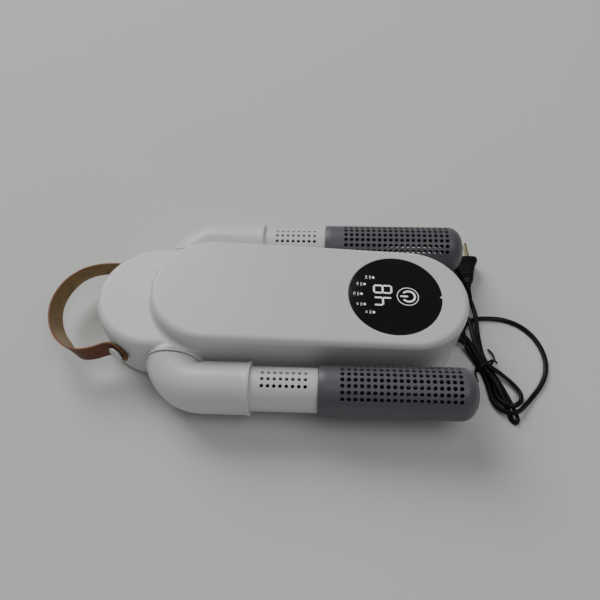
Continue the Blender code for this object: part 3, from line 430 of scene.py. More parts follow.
def leather_grain():
    """Smooth side of the strap: creased grain with darker pores."""
    made, tree, shader, place = start_material("leather_grain", Specular_IOR_Level=0.35)
    cells = add_node(tree, "ShaderNodeTexVoronoi", {"Vector": place, "Scale": 1250.0, "Randomness": 1.0},
                     feature="DISTANCE_TO_EDGE").outputs["Distance"]
    blotch = noise(tree, place, 110.0, 6.0, 0.6)
    tone = between(tree, spread(tree, blotch, 0.0, 1.0), (0.110, 0.032, 0.014), (0.190, 0.060, 0.026))
    tree.links.new(tone, shader.inputs["Base Color"])
    tree.links.new(spread(tree, blotch, 0.44, 0.62), shader.inputs["Roughness"])
    creases = bumped(tree, shader, spread(tree, cells, 0.0, 1.0, 0.0, 0.25), 0.07)
    bumped(tree, shader, noise(tree, place, 420.0, 4.0), 0.12, under=creases)
    return made


def leather_suede():
    """Flesh side of the strap: a short matted nap."""
    made, tree, shader, place = start_material("leather_suede", Sheen_Weight=0.25, Sheen_Roughness=0.6,
                                               Specular_IOR_Level=0.15)
    stretched = add_node(tree, "ShaderNodeMapping", {"Vector": place, "Scale": (1.0, 1.0, 3.2)})
    fibres = noise(tree, stretched.outputs["Vector"], 900.0, 5.0, 0.7)
    blotch = noise(tree, place, 90.0, 5.0, 0.6)
    both = add_node(tree, "ShaderNodeMath", {0: fibres, 1: blotch}, operation="ADD").outputs[0]
    mix = spread(tree, both, 0.0, 1.0, 0.75, 1.25)
    tone = between(tree, mix, (0.150, 0.085, 0.019), (0.275, 0.160, 0.040))
    tree.links.new(tone, shader.inputs["Base Color"])
    tree.links.new(spread(tree, fibres, 0.85, 1.0), shader.inputs["Roughness"])
    bumped(tree, shader, fibres, 0.25)
    return made


def leather_edge():
    """Cut edge, dyed and rubbed smooth."""
    made, tree, shader, place = start_material("leather_edge")
    streak = noise(tree, place, 500.0, 4.0)
    tone = between(tree, spread(tree, streak, 0.0, 1.0), (0.120, 0.040, 0.007), (0.250, 0.085, 0.014))
    tree.links.new(tone, shader.inputs["Base Color"])
    tree.links.new(spread(tree, streak, 0.40, 0.65), shader.inputs["Roughness"])
    bumped(tree, shader, streak, 0.08)
    return made


def board_mask():
    made, tree, shader, place = start_material("board_mask")
    tracks = add_node(tree, "ShaderNodeTexBrick", {"Vector": place, "Scale": 260.0, "Mortar Size": 0.08})
    tone = between(tree, tracks.outputs["Fac"], (0.012, 0.085, 0.030), (0.020, 0.140, 0.052))
    tree.links.new(tone, shader.inputs["Base Color"])
    tree.links.new(spread(tree, noise(tree, place, 300.0), 0.35, 0.55), shader.inputs["Roughness"])
    bumped(tree, shader, tracks.outputs["Fac"], 0.03)
    return made


def foam():
    made, tree, shader, place = start_material("foam")
    cells = add_node(tree, "ShaderNodeTexVoronoi", {"Vector": place, "Scale": 1400.0}).outputs["Distance"]
    tone = between(tree, spread(tree, cells, 0.0, 1.0, 0.1, 0.6), (0.006, 0.006, 0.006), (0.05, 0.05, 0.05))
    tree.links.new(tone, shader.inputs["Base Color"])
    tree.links.new(spread(tree, cells, 0.85, 1.0), shader.inputs["Roughness"])
    bumped(tree, shader, cells, 0.5)
    return made


def floor_paper():
    made, tree, shader, place = start_material("floor_paper", Specular_IOR_Level=0.15)
    tone = between(tree, noise(tree, place, 1.5, 3.0), (0.675, 0.685, 0.665), (0.70, 0.71, 0.69))
    tree.links.new(tone, shader.inputs["Base Color"])
    tree.links.new(spread(tree, noise(tree, place, 12.0), 0.75, 0.9), shader.inputs["Roughness"])
    bumped(tree, shader, noise(tree, place, 700.0), 0.02)
    return made


WHITE = moulded("white_abs", (0.70, 0.707, 0.697), 0.34, grain=0.008, mottle=0.025)
GREY = moulded("grey_abs", (0.112, 0.114, 0.128), 0.42, grain=0.016, mottle=0.10)
# Black ABS for the real black parts, also used as painted shade inside the tubes and the nozzles.
BLACK = moulded("black_abs_and_painted_shade", (0.006, 0.006, 0.006), 0.5, mottle=0.2, Specular_IOR_Level=0.3)
DUCT = moulded("duct_nylon", (0.045, 0.045, 0.05), 0.6, mottle=0.15)
PVC = moulded("cord_pvc", (0.0042, 0.0042, 0.0042), 0.42, grain=0.02, grain_scale=1800.0, mottle=0.25,
              Specular_IOR_Level=0.28)
RUBBER = moulded("rubber", (0.022, 0.022, 0.022), 0.8, grain=0.03, mottle=0.3)
STEEL = brushed("plated_steel", (0.60, 0.60, 0.60), 0.3)
ALUMINIUM = brushed("aluminium", (0.70, 0.70, 0.72), 0.38)
BRASS = brushed("blade_brass", (0.62, 0.52, 0.33), 0.32)
PANEL = panel_gloss()
PRINT = lit_print()
GRAIN, SUEDE, EDGE = leather_grain(), leather_suede(), leather_edge()
BOARD = board_mask()
FOAM = foam()


# ---------------------------------------------------------------- camera, floor, light

def make_camera():
    camera = bpy.data.objects.new("camera", bpy.data.cameras.new("camera"))
    camera.data.lens = CAMERA_LENS
    camera.data.clip_start = 0.01
    down, yaw, roll = CAMERA_ELEVATION, CAMERA_YAW, CAMERA_ROLL
    ahead = Vector((-math.sin(yaw) * math.cos(down), math.cos(yaw) * math.cos(down), -math.sin(down)))
    level = Vector((math.cos(yaw), math.sin(yaw), 0.0))
    above = level.cross(ahead)
    across = math.cos(roll) * level + math.sin(roll) * above
    upward = math.cos(roll) * above - math.sin(roll) * level
    camera.matrix_world = (Matrix.Translation(Vector(CAMERA_AT) * MM)
                           @ Matrix((across, upward, -ahead)).transposed().to_4x4())
    bpy.context.scene.collection.objects.link(camera)
    bpy.context.scene.camera = camera


def make_floor():
    reach = FLOOR_REACH
    corners = [(-reach, -reach, 0), (reach, -reach, 0), (reach, reach, 0), (-reach, reach, 0)]
    floor = mesh_from("floor", corners, [(0, 1, 2, 3)])
    floor.materials.append(floor_paper())
    floor = bpy.data.objects.new("floor", floor)
    bpy.context.scene.collection.objects.link(floor)


def area_light(name, place, aim, size, power, colour=(1.0, 1.0, 1.0)):
    light = bpy.data.lights.new(name, "AREA")
    light.shape = "RECTANGLE"
    light.size, light.size_y = size
    light.energy = power
    light.color = colour
    lamp = bpy.data.objects.new(name, light)
    lamp.location = place
    lamp.rotation_mode = "QUATERNION"
    lamp.rotation_quaternion = (Vector(aim) - Vector(place)).to_track_quat("-Z", "Y")
    bpy.context.scene.collection.objects.link(lamp)


def make_light():
    area_light("window", (-2.0, 2.6, 2.7), (0.0, 0.0, 0.0), (2.7, 2.7), 124.0, (1.0, 0.995, 0.985))
    area_light("ceiling", (0.9, -0.5, 2.6), (0.3, 0.0, 0.0), (1.8, 1.8), 17.0)
    world = bpy.data.worlds.new("room")
    world.use_nodes = True
    background = world.node_tree.nodes["Background"]
    background.inputs["Color"].default_value = (0.95, 0.97, 1.0, 1.0)
    background.inputs["Strength"].default_value = 0.14
    bpy.context.scene.world = world


# ---------------------------------------------------------------- cord

def cord_outline(turn):
    """Two round cores side by side under one skin, turned by an angle."""
    points = []
    half = 9
    for side in (1.0, -1.0):
        for i in range(half):
            a = math.radians(-75.0 + 150.0 * i / (half - 1)) + (0.0 if side > 0 else math.pi)
            points.append((side * CORD_CORE_OFFSET + CORD_CORE * math.cos(a), CORD_CORE * math.sin(a)))
    c, s = math.cos(turn), math.sin(turn)
    return [(c * a - s * b, s * a + c * b) for a, b in points]


def cord_turn(distance):
    """How far the flat cord is rolled on its side, at a distance from its start."""
    return (math.radians(10.0) + math.radians(38.0) * math.sin(FULL_TURN * distance / 230.0 + 0.4)
            + math.radians(14.0) * math.sin(FULL_TURN * distance / 61.0))


def make_cord():
    route = evenly(smooth_through(CORD_ROUTE, 12), CORD_STEPS)
    along = walked(route)
    cord = swept(route, lambda i: cord_outline(cord_turn(along[i])))
    cord = show("mains_cord", cord, PVC, "housing", "power_cord", slot="cord_pvc", sharp=60.0)
    relief = make_relief()
    tie = make_tie()
    plug = make_plug()


def make_relief():
    """Tapered sleeve with three grooves where the cord leaves the housing."""
    path = evenly(smooth_through(RELIEF_PATH[1:], 8), 60)
    radii = []
    for i in range(len(path)):
        share = i / (len(path) - 1)
        groove = 0.32 * max(0.0, math.sin(share * FULL_TURN * 3.5)) ** 2 if 0.12 < share < 0.86 else 0.0
        radii.append(3.1 - 1.05 * share - groove)
    radii[-1] -= 0.35
    outline = [(math.cos(FULL_TURN * k / 32), math.sin(FULL_TURN * k / 32)) for k in range(32)]
    relief = swept(path, lambda i: [(radii[i] * a, radii[i] * b) for a, b in outline])
    return show("cord_sleeve", relief, PVC, "housing", "cord_strain_relief", slot="cord_pvc", sharp=50.0)


def ribbon_outline(width, thick):
    """Flat wire tie: a thin ribbon with a round wire in the middle."""
    wire = thick * 0.9
    return [(-width / 2, -thick / 4), (-wire, -thick / 4), (0.0, -wire / 1.4), (wire, -thick / 4),
            (width / 2, -thick / 4), (width / 2, thick / 4), (wire, thick / 4), (0.0, wire / 1.4),
            (-wire, thick / 4), (-width / 2, thick / 4)]


def make_tie():
    ahead = Vector(TIE_DIRECTION).normalized()
    up = Vector((0, 0, 1))
    side = ahead.cross(up)
    rings = []
    section = [(0.0, -0.5), (TIE_THICK * 0.7, -0.5), (TIE_THICK, -0.25), (TIE_THICK, 0.25),
               (TIE_THICK * 0.7, 0.5), (0.0, 0.5)]
    for i in range(48):
        a = FULL_TURN * i / 48
        square = (abs(math.cos(a)) ** 4 + abs(math.sin(a)) ** 4) ** -0.25
        tall, wide = TIE_HOLE[1] * square * math.cos(a), TIE_HOLE[0] * square * math.sin(a)
        out = Vector((tall, wide, 0.0)).normalized()
        rings.append([Vector(TIE_AT) + up * (tall + t * out.x) + side * (wide + t * out.y)
                      + ahead * TIE_WIDTH * w for t, w in section])
    band = show("wire_tie_band", Shape().loft(rings, closed=True), BLACK, "housing", "twist_tie",
                slot="black_plastic", sharp=40.0)
    tails = [
        ((177.3, -20.6, 6.4), (178.9, -20.6, 7.2), (180.6, -21.6, 6.0), (181.2, -20.2, 4.2),
         (180.2, -18.6, 3.6), (180.0, -16.4, 3.2), (179.9, -13.3, 2.6), (178.8, -10.0, 2.0),
         (176.8, -7.1, 1.4)),
        ((165.2, -26.0, 6.0), (164.3, -27.0, 4.4), (164.4, -29.6, 2.2), (165.0, -33.0, 1.2),
         (165.8, -36.4, 1.0)),
    ]
    made = [band]
    for i, tail in enumerate(tails):
        path = evenly(smooth_through(tail, 8), 48)
        shape = swept(path, lambda k: ribbon_outline(1.5, 0.7))
        made.append(show(f"wire_tie_end_{i + 1}", shape, BLACK, "housing", slot="black_plastic", sharp=40.0))
    return made


def plug_section(y):
    """Half width, half height and squareness of the plug at a distance from its tail."""
    stations = ((0.0, 2.3, 2.3, 2.0), (9.0, 2.9, 2.9, 2.0), (13.0, 3.9, 3.7, 2.2), (17.0, 6.4, 5.6, 2.8),
                (24.0, 8.0, 6.7, 3.4), (31.0, 10.4, 7.1, 4.0), (34.6, 12.4, 7.2, 4.6), (36.0, 13.0, 7.2, 4.8),
                (38.4, 13.0, 7.2, 4.8), (39.0, 12.3, 6.5, 4.8))
    given = np.array(stations)
    return [float(np.interp(y, given[:, 0], given[:, i])) for i in (1, 2, 3)]


def make_plug():
    """Flat mains plug: grooved tail, waist with finger ridges and a wide face."""
    rings = []
    for y in np.concatenate([np.linspace(0.0, 13.0, 53), np.linspace(13.4, 39.0, 60)]):
        half_x, half_z, power = plug_section(y)
        if 1.0 < y < 13.0:
            dent = 0.45 if (y % 2.6) > 1.7 else 0.0
            half_x, half_z = half_x - dent, half_z - dent
        if 20.0 < y < 30.0:
            half_z -= 0.3 * (0.5 - 0.5 * math.cos(FULL_TURN * (y - 20.0) / 2.5))
        ring = []
        for i in range(48):
            a = FULL_TURN * i / 48
            reach = (abs(math.cos(a)) ** power + abs(math.sin(a)) ** power) ** (-1 / power)
            ring.append((half_x * reach * math.cos(a), y, half_z * reach * math.sin(a)))
        rings.append(ring)
    place = Matrix.Translation(Vector(PLUG_TAIL)) @ Matrix.Rotation(PLUG_TURN, 4, "Z")
    return show("mains_plug", Shape().loft(rings).placed(place), PVC, "housing", "plug_body", slot="cord_pvc",
                sharp=38.0)


# ---------------------------------------------------------------- housing

def round_max(a, b, radius):
    """Where two half-spaces meet in a convex edge, rounded."""
    rounded = np.hypot(np.maximum(a + radius, 0), np.maximum(b + radius, 0))
    return np.minimum(np.maximum(a, b), -radius) + rounded


def round_min(a, b, radius):
    """Where two solids meet in a hollow edge, filleted."""
    return -round_max(-a, -b, radius)


def wedge(x, y, tail):
    """Distance in plan to the outline round the tip's circle and a tail's circle, each (centre x, radius)."""
    length = TIP[0] - tail[0]
    narrowing = (tail[1] - TIP[1]) / length
    level = math.sqrt(1 - narrowing**2)
    u, v = x - tail[0], np.abs(y)
    along = level * u - narrowing * v
    side = narrowing * u + level * v - tail[1]
    return np.where(along < 0, np.hypot(u, v) - tail[1],
                    np.where(along > level * length, np.hypot(u - length, v) - TIP[1], side))


def housing_field(points):
    """Signed distance, in millimetres, to the housing's outer surface: negative inside."""
    x, y, z = points.T
    draft = DRAFT * (TOP_Z - z) / (TOP_Z - BOTTOM_Z)
    outer = wedge(x, y, TAIL) + draft
    raised = wedge(x, y, RAISED_TAIL) + draft
    fillet = np.minimum(STEP_FILLET, 0.5 * (raised - outer)) + 1e-6
    ledge = round_max(outer, z - LEDGE_Z, LEDGE_ROUND)
    body = round_min(ledge, round_max(raised, z - TOP_Z, TOP_ROUND), fillet)
    depth = WALL_Y + PANEL_GAP - 0.2 - np.abs(y)
    cone = np.hypot(x - PIVOT.x, z - PIVOT.z) - BOSS_RADIUS + BOSS_SLOPE * np.maximum(depth, 0)
    boss = round_max(cone, -depth, RIM_ROUND)
    return round_max(round_min(body, boss, BOSS_BLEND), BOTTOM_Z - z, RIM_ROUND)


def slope_of(field, points, reach=0.02):
    steps = np.eye(3) * reach
    return np.stack([(field(points + s) - field(points - s)) / (2 * reach) for s in steps], axis=1)


def surface_net(field, low, high, step, rounds=3):
    """A closed mesh of a field's zero surface, with one point in each cell that it crosses."""
    axes = [np.arange(a, b + step, step) for a, b in zip(low, high)]
    grid = np.stack(np.meshgrid(*axes, indexing="ij"), -1)
    inside = field(grid.reshape(-1, 3)).reshape(grid.shape[:3]) < 0
    near = [inside[i:inside.shape[0] - 1 + i, j:inside.shape[1] - 1 + j, k:inside.shape[2] - 1 + k]
            for i in (0, 1) for j in (0, 1) for k in (0, 1)]
    count = np.sum(near, axis=0)
    cells = (count > 0) & (count < len(near))
    index = np.full(cells.shape, -1)
    index[cells] = np.arange(cells.sum())
    points = (np.argwhere(cells) + 0.5) * step + np.array(low)
    faces = []
    for axis in range(3):
        first = np.take(inside, range(inside.shape[axis] - 1), axis)
        second = np.take(inside, range(1, inside.shape[axis]), axis)
        for leaving, order in ((first & ~second, (0, 1, 2, 3)), (~first & second, (3, 2, 1, 0))):
            at = np.argwhere(leaving)
            b, c = np.eye(3, dtype=int)[[(axis + 1) % 3, (axis + 2) % 3]]
            around = [index[tuple((at - shift).T)] for shift in (b * 0, b, b + c, c)]
            faces.append(np.stack([around[k] for k in order], axis=1))
    faces = np.concatenate(faces)
    pairs = np.concatenate([faces[:, [0, 1]], faces[:, [1, 2]], faces[:, [2, 3]], faces[:, [3, 0]]])
    pairs = np.concatenate([pairs, pairs[:, ::-1]])
    for turn in range(rounds + 1):
        for _ in range(4):
            slope = slope_of(field, points)
            points = points - (field(points) / (slope**2).sum(axis=1))[:, None] * slope
        if turn < rounds:
            total = np.zeros_like(points)
            np.add.at(total, pairs[:, 0], points[pairs[:, 1]])
            points = total / np.bincount(pairs[:, 0], minlength=len(points))[:, None]
    return points, faces


def wedge_outline(tail, inset, z, steps=48):
    narrowing = math.asin((tail[1] - TIP[1]) / (TIP[0] - tail[0]))
    points = []
    for (centre, radius), start, end in ((TIP, narrowing - math.pi / 2, math.pi / 2 - narrowing),
                                         (tail, math.pi / 2 - narrowing, math.pi * 1.5 + narrowing)):
        for i in range(steps + 1):
            a = start + (end - start) * i / steps
            points.append((centre + (radius - inset) * math.cos(a), (radius - inset) * math.sin(a), z))
    return points


def room(tail, low, high, fillet):
    """The hollow inside one level of the housing: a drafted block with a round top edge."""
    rings = [wedge_outline(tail, WALL + DRAFT, low)]
    for a, b in corner((0.0, 0.0), fillet, 0.0, 90.0):
        rings.append(wedge_outline(tail, WALL + fillet - a, high - fillet + b))
    return Shape().loft(rings)


def cut(mesh, cutters):
    """The mesh with closed shapes cut out of it, one after another."""
    target = bpy.data.objects.new("cut_target", mesh)
    bpy.context.scene.collection.objects.link(target)
    helpers = []
    for i, cutter in enumerate(cutters):
        helper = bpy.data.objects.new(f"cutter_{i}", mesh_from(f"cutter_{i}", cutter.points, cutter.faces))
        bpy.context.scene.collection.objects.link(helper)
        step = target.modifiers.new(f"cut_{i}", "BOOLEAN")
        step.operation = "DIFFERENCE"
        step.object = helper
        helpers.append(helper)
    graph = bpy.context.evaluated_depsgraph_get()
    made = bpy.data.meshes.new_from_object(target.evaluated_get(graph))
    for used in [target, *helpers]:
        bpy.data.objects.remove(used)
    return made


def true_normals(mesh, field):
    """Shades faces that lie on the field's surface by the surface itself, and the others by their mesh."""
    mesh.shade_smooth()
    mesh.set_sharp_from_angle(angle=math.radians(30.0))
    points = np.empty(len(mesh.vertices) * 3)
    mesh.vertices.foreach_get("co", points)
    points = points.reshape(-1, 3) / MM
    slope = slope_of(field, points)
    slope /= np.linalg.norm(slope, axis=1)[:, None]
    on_surface = np.abs(field(points)) < 0.02
    corners = np.empty(len(mesh.loops) * 3)
    mesh.corner_normals.foreach_get("vector", corners)
    corners = corners.reshape(-1, 3)
    vertex = np.empty(len(mesh.loops), int)
    mesh.loops.foreach_get("vertex_index", vertex)
    face_normal = np.empty(len(mesh.polygons) * 3)
    mesh.polygons.foreach_get("normal", face_normal)
    sizes = np.empty(len(mesh.polygons), int)
    mesh.polygons.foreach_get("loop_total", sizes)
    face_normal = np.repeat(face_normal.reshape(-1, 3), sizes, axis=0)
    usable = on_surface[vertex] & ((slope[vertex] * face_normal).sum(axis=1) > 0.8)
    corners[usable] = slope[vertex][usable]
    mesh.normals_split_custom_set(corners.tolist())


def toothed_circle(radius, z, gap, count=128):
    """The panel's outline: a circle with a three-cornered nick at its outer edge, less a gap."""
    share = TOOTH_HALF_WIDTH / PANEL_RADIUS
    turns = [share + (FULL_TURN - 2 * share) * i / count for i in range(count + 1)]
    points = [(PANEL_X + radius * math.cos(a), radius * math.sin(a), z) for a in turns]
    return [*points, (PANEL_X + radius - TOOTH_DEPTH + gap, 0.0, z)]


def make_housing():
    step = NET_STEP
    low = (TAIL[0] - TAIL[1] - 3.0, -TAIL[1] - 3.0, BOTTOM_Z - 2.1)
    high = (TIP[0] + TIP[1] + 3.0, TAIL[1] + 3.0, TOP_Z + 3.0)
    points, faces = surface_net(housing_field, low, high, step)
    mesh = bpy.data.meshes.new("housing_shell")
    mesh.from_pydata((points * MM).tolist(), [], faces.tolist())
    floor = TOP_Z - PANEL_RECESS
    mouth = PANEL_RADIUS + PANEL_GAP
    rings = [toothed_circle(r, z, PANEL_GAP) for r, z in
             ((mouth, floor), (mouth, TOP_Z - 0.15), (mouth + 0.15, TOP_Z), (mouth + 1.0, TOP_Z + 0.85))]
    mesh = cut(mesh, [
        room(TAIL, BOTTOM_Z - 2.0, LEDGE_Z - WALL, LEDGE_ROUND - WALL),
        room(RAISED_TAIL, LEDGE_Z - 12.0, TOP_Z - TOP_WALL, TOP_ROUND - WALL),
        Shape().loft(rings),
    ])
    true_normals(mesh, housing_field)
    show("housing_shell", mesh, WHITE, "housing", "upper_housing", slot="white_plastic")


# ---------------------------------------------------------------- panel

def panel_point(u, v, z):
    """A point on the panel: u in reading direction and v up, from its centre."""
    return (PANEL_X - v, u, z)


def print_shape(shape, outline):
    low, high = TOP_Z + PRINT_LIFT, TOP_Z + PRINT_LIFT + PRINT_THICK
    shape.loft([[panel_point(u, v, z) for u, v in outline] for z in (low, high)])


def bar(shape, start, end, half, steps=8):
    """A straight stroke with round ends."""
    turn = math.atan2(end[1] - start[1], end[0] - start[0])
    outline = []
    for centre, first in ((end, -0.5), (start, 0.5)):
        for i in range(steps + 1):
            a = turn + math.pi * (first + i / steps)
            outline.append((centre[0] + half * math.cos(a), centre[1] + half * math.sin(a)))
    print_shape(shape, outline)


def arc(shape, centre, radius, half, start, end, steps=64):
    """A round stroke from one direction to another, in degrees, closed when it goes right round."""
    whole = end - start >= 360.0
    turns = [math.radians(start + (end - start) * i / steps) for i in range(steps + (0 if whole else 1))]
    rings = []
    for a in turns:
        rings.append([panel_point(centre[0] + r * math.cos(a), centre[1] + r * math.sin(a), z)
                      for r, z in ((radius - half, TOP_Z + PRINT_LIFT), (radius + half, TOP_Z + PRINT_LIFT),
                                   (radius + half, TOP_Z + PRINT_LIFT + PRINT_THICK),
                                   (radius - half, TOP_Z + PRINT_LIFT + PRINT_THICK))])
    shape.loft(rings, closed=whole)


SEGMENTS = {
    "a": ((0, 2), (1, 2)), "b": ((1, 1), (1, 2)), "c": ((1, 0), (1, 1)), "d": ((0, 0), (1, 0)),
    "e": ((0, 0), (0, 1)), "f": ((0, 1), (0, 2)), "g": ((0, 1), (1, 1)),
}
DIGIT_SIZE = (6.4, 6.25)
DIGIT_STROKE = 0.68
DIGIT_GAP = 0.95


def digit(shape, left, bottom, lit):
    width, height = DIGIT_SIZE
    for name in lit:
        start, end = (Vector((left + u * width, bottom + v * height)) for u, v in SEGMENTS[name])
        trim = (end - start).normalized() * DIGIT_GAP
        bar(shape, start + trim, end - trim, DIGIT_STROKE)


def label(shape, text, centre, height):
    """Small generic lettering, made flat from Blender's own font."""
    curve = bpy.data.curves.new("label", "FONT")
    curve.body = text
    curve.size = height * 1.38
    curve.align_x, curve.align_y = "CENTER", "CENTER"
    curve.resolution_u = 3
    curve.extrude = PRINT_THICK / 2
    holder = bpy.data.objects.new("label", curve)
    bpy.context.scene.collection.objects.link(holder)
    graph = bpy.context.evaluated_depsgraph_get()
    flat = bpy.data.meshes.new_from_object(holder.evaluated_get(graph))
    start = len(shape.points)
    middle = TOP_Z + PRINT_LIFT + PRINT_THICK / 2
    for vertex in flat.vertices:
        u, v, z = vertex.co
        shape.points.append(panel_point(centre[0] + u, centre[1] + v, middle + z))
    shape.faces += [tuple(start + i for i in face.vertices) for face in flat.polygons]
    bpy.data.objects.remove(holder)
    bpy.data.meshes.remove(flat)


TIMER_STEPS = (
    (-15.7, 15.75, "30"), (-9.1, 22.1, "60"), (-0.2, 24.3, "120"), (8.6, 22.0, "180"), (15.0, 15.6, "240"),
)


def make_panel():
    low = TOP_Z - PANEL_RECESS + PANEL_GAP
    rim = corner((PANEL_RADIUS - PANEL_ROUND, low + PANEL_THICK - PANEL_ROUND), PANEL_ROUND, 0, 90)
    disc = Shape().loft([toothed_circle(r, z, 0.0) for r, z in [(PANEL_RADIUS, low)] + rim])
    disc = mesh_from("touch_disc", disc.points, disc.faces)
    disc.shade_smooth()
    disc.set_sharp_from_angle(angle=math.radians(40.0))
    show("touch_disc", disc, PANEL, "housing", "touch_panel", slot="panel_black")

    digits = Shape()
    digit(digits, 1.6, 2.7, "abcdefg")
    digit(digits, -9.1, 2.7, "bcfg")
    show("display_digits", digits, PRINT, "housing")
    power = Shape()
    arc(power, (-0.7, -9.0), 7.6, 0.28, 0.0, 360.0)
    arc(power, (-0.6, -9.6), 4.5, 0.72, 90.0 + 38.0, 450.0 - 38.0)
    bar(power, (-0.65, -4.2), (-0.65, -8.6), 0.66)
    show("power_symbol", power, PRINT, "housing")
    lights, labels = Shape(), Shape()
    for u, v, minutes in TIMER_STEPS:
        print_shape(lights, [(u + a, v + b) for a, b, _ in circle(1.0, 0.0, 24)])
        label(labels, "MIN", (u, v + 2.3), 1.25)
        label(labels, minutes, (u, v + 5.0), 1.5)
    show("timer_lights", lights, PRINT, "housing")
    show("timer_labels", labels, PRINT, "housing")


# ---------------------------------------------------------------- arms

def level_ring(side, radius, reach, count=72):
    """A circle about the arm's pivot line, at a distance from the middle of the body."""
    turns = [FULL_TURN * i / count for i in range(count)]
    return [(radius * math.cos(a), side * reach, radius * math.sin(a)) for a in turns]


def arm_ring(side, radius, x, count=72):
    """A circle about the arm's centre line, at a distance from its pivot."""
    turns = [FULL_TURN * i / count for i in range(count)]
    return [(x, side * (ARM_Y - radius * math.cos(a)), radius * math.sin(a)) for a in turns]


def bend_ring(side, share, inset, count=72):
    """A cross-section of the elbow's bend, from the hub's face (share 0) to its straight end (share 1).

    The outside follows one wide arc, and the inside turns about a point beside the hub.
    """
    reach = BEND_RADIUS + ELBOW_RADIUS
    rise = ARM_Y - BEND_RADIUS
    start = math.asin((HUB_FACE_Y - rise) / reach)
    angle = start + (math.pi / 2 - start) * share
    near_hub = (1 - share) ** 4
    flare = near_hub * (HUB_RADIUS + BEND_RADIUS - reach * math.cos(start))
    outside = Vector((BEND_RADIUS - reach * math.cos(angle) - flare, rise + reach * math.sin(angle)))
    turning, leaving = min(share / 0.6, 1.0), max(share - 0.6, 0.0) / 0.4
    pivot = Vector((HUB_RADIUS, HUB_FACE_Y)) + Vector((0.15, 0.35)) * turning
    inside = pivot.lerp(Vector((BEND_RADIUS, ARM_Y - ELBOW_RADIUS)), leaving)
    middle, across = (outside + inside) / 2, (inside - outside).normalized()
    wide = (inside - outside).length / 2 - inset
    tall = ELBOW_RADIUS + (HUB_RADIUS - ELBOW_RADIUS) * near_hub - inset
    ring = []
    for i in range(count):
        a = FULL_TURN * i / count
        x, y = middle + across * wide * math.cos(a)
        ring.append((x, side * y, tall * math.sin(a)))
    return ring


def make_elbow(name, side):
    rings = [bend_ring(side, 0.0, 0.35), bend_ring(side, 0.003, 0.1), bend_ring(side, 0.008, 0.0)]
    rings += [bend_ring(side, i / 24, 0.0) for i in range(1, 25)]
    lip = ELBOW_END - LIP_WIDTH
    rings += [arm_ring(side, ELBOW_RADIUS, BEND_RADIUS + (lip - BEND_RADIUS) * i / 8) for i in range(1, 8)]
    mouth = [(ELBOW_RADIUS, lip - 0.3), (ELBOW_RADIUS + 0.1, lip), (LIP_RADIUS - 0.1, lip + 0.3)]
    mouth += corner((LIP_RADIUS - 0.6, ELBOW_END - 0.6), 0.6, 0.0, 90.0)
    mouth += [(SOCKET_INNER + 0.3, ELBOW_END), (SOCKET_INNER, ELBOW_END - 0.3), (SOCKET_INNER, SOCKET_START),
              (ELBOW_INNER, SOCKET_START)]
    rings += [arm_ring(side, radius, x) for radius, x in mouth]
    rings += [bend_ring(side, i / 12, ELBOW_RADIUS - ELBOW_INNER) for i in range(12, 1, -1)]
    rings += [level_ring(side, NECK_INNER, HUB_FACE_Y + HUB_PLATE), level_ring(side, NECK_INNER, NECK_END_Y)]
    rings += [level_ring(side, NECK_RADIUS, NECK_END_Y), level_ring(side, NECK_RADIUS, HUB_FACE_Y)]
    shape = Shape().loft(rings, closed=True).placed(at_pivot())
    show(f"{name}_bend", shape, WHITE, f"{name}_arm", f"{name}_elbow", slot="white_plastic")


def make_collar(name, side):
    inner = NECK_RADIUS + PANEL_GAP
    profile = [(COLLAR_RADIUS, WALL_Y + PANEL_GAP)]
    profile += corner((COLLAR_RADIUS - 0.5, COLLAR_FACE_Y - 0.5), 0.5, 0.0, 90.0, 6)
    profile += [(inner, COLLAR_FACE_Y), (inner, SLEEVE_END_Y), (COLLAR_SLEEVE, SLEEVE_END_Y),
                (COLLAR_SLEEVE, WALL_Y + PANEL_GAP)]
    place = aimed((0, side, 0), (PIVOT.x, 0, PIVOT.z))
    show(f"{name}_hub_ring", turned(profile, 96).placed(place), WHITE, "housing", f"{name}_collar",
         slot="white_plastic")
    (seal_inner, seal_outer), low, high = SEAL_RADII, COLLAR_FACE_Y + 0.1, HUB_FACE_Y - 0.1
    seal = turned([(seal_outer, low), (seal_outer, high), (seal_inner, high), (seal_inner, low)])
    show(f"{name}_rubber_ring", seal.placed(place), RUBBER, "housing", f"{name}_hub_seal", slot="rubber")


def angle_lines(bands, fill=4.0):
    """Directions of the lines along a pierced wall, in degrees, and the line where each row starts."""
    lines, starts = [], []
    for i, (centre, rows, step) in enumerate(bands):
        low = centre - rows * step / 2
        for row in range(rows):
            starts.append(len(lines) + 4 * row)
        lines += [low + step * k / 4 for k in range(4 * rows + 1)]
        following = bands[(i + 1) % len(bands)]
        until = following[0] - following[1] * following[2] / 2 + (360.0 if i == len(bands) - 1 else 0.0)
        parts = max(1, round((until - lines[-1]) / fill))
        lines += [lines[-1] + (until - lines[-1]) * k / parts for k in range(1, parts)]
    return lines, starts


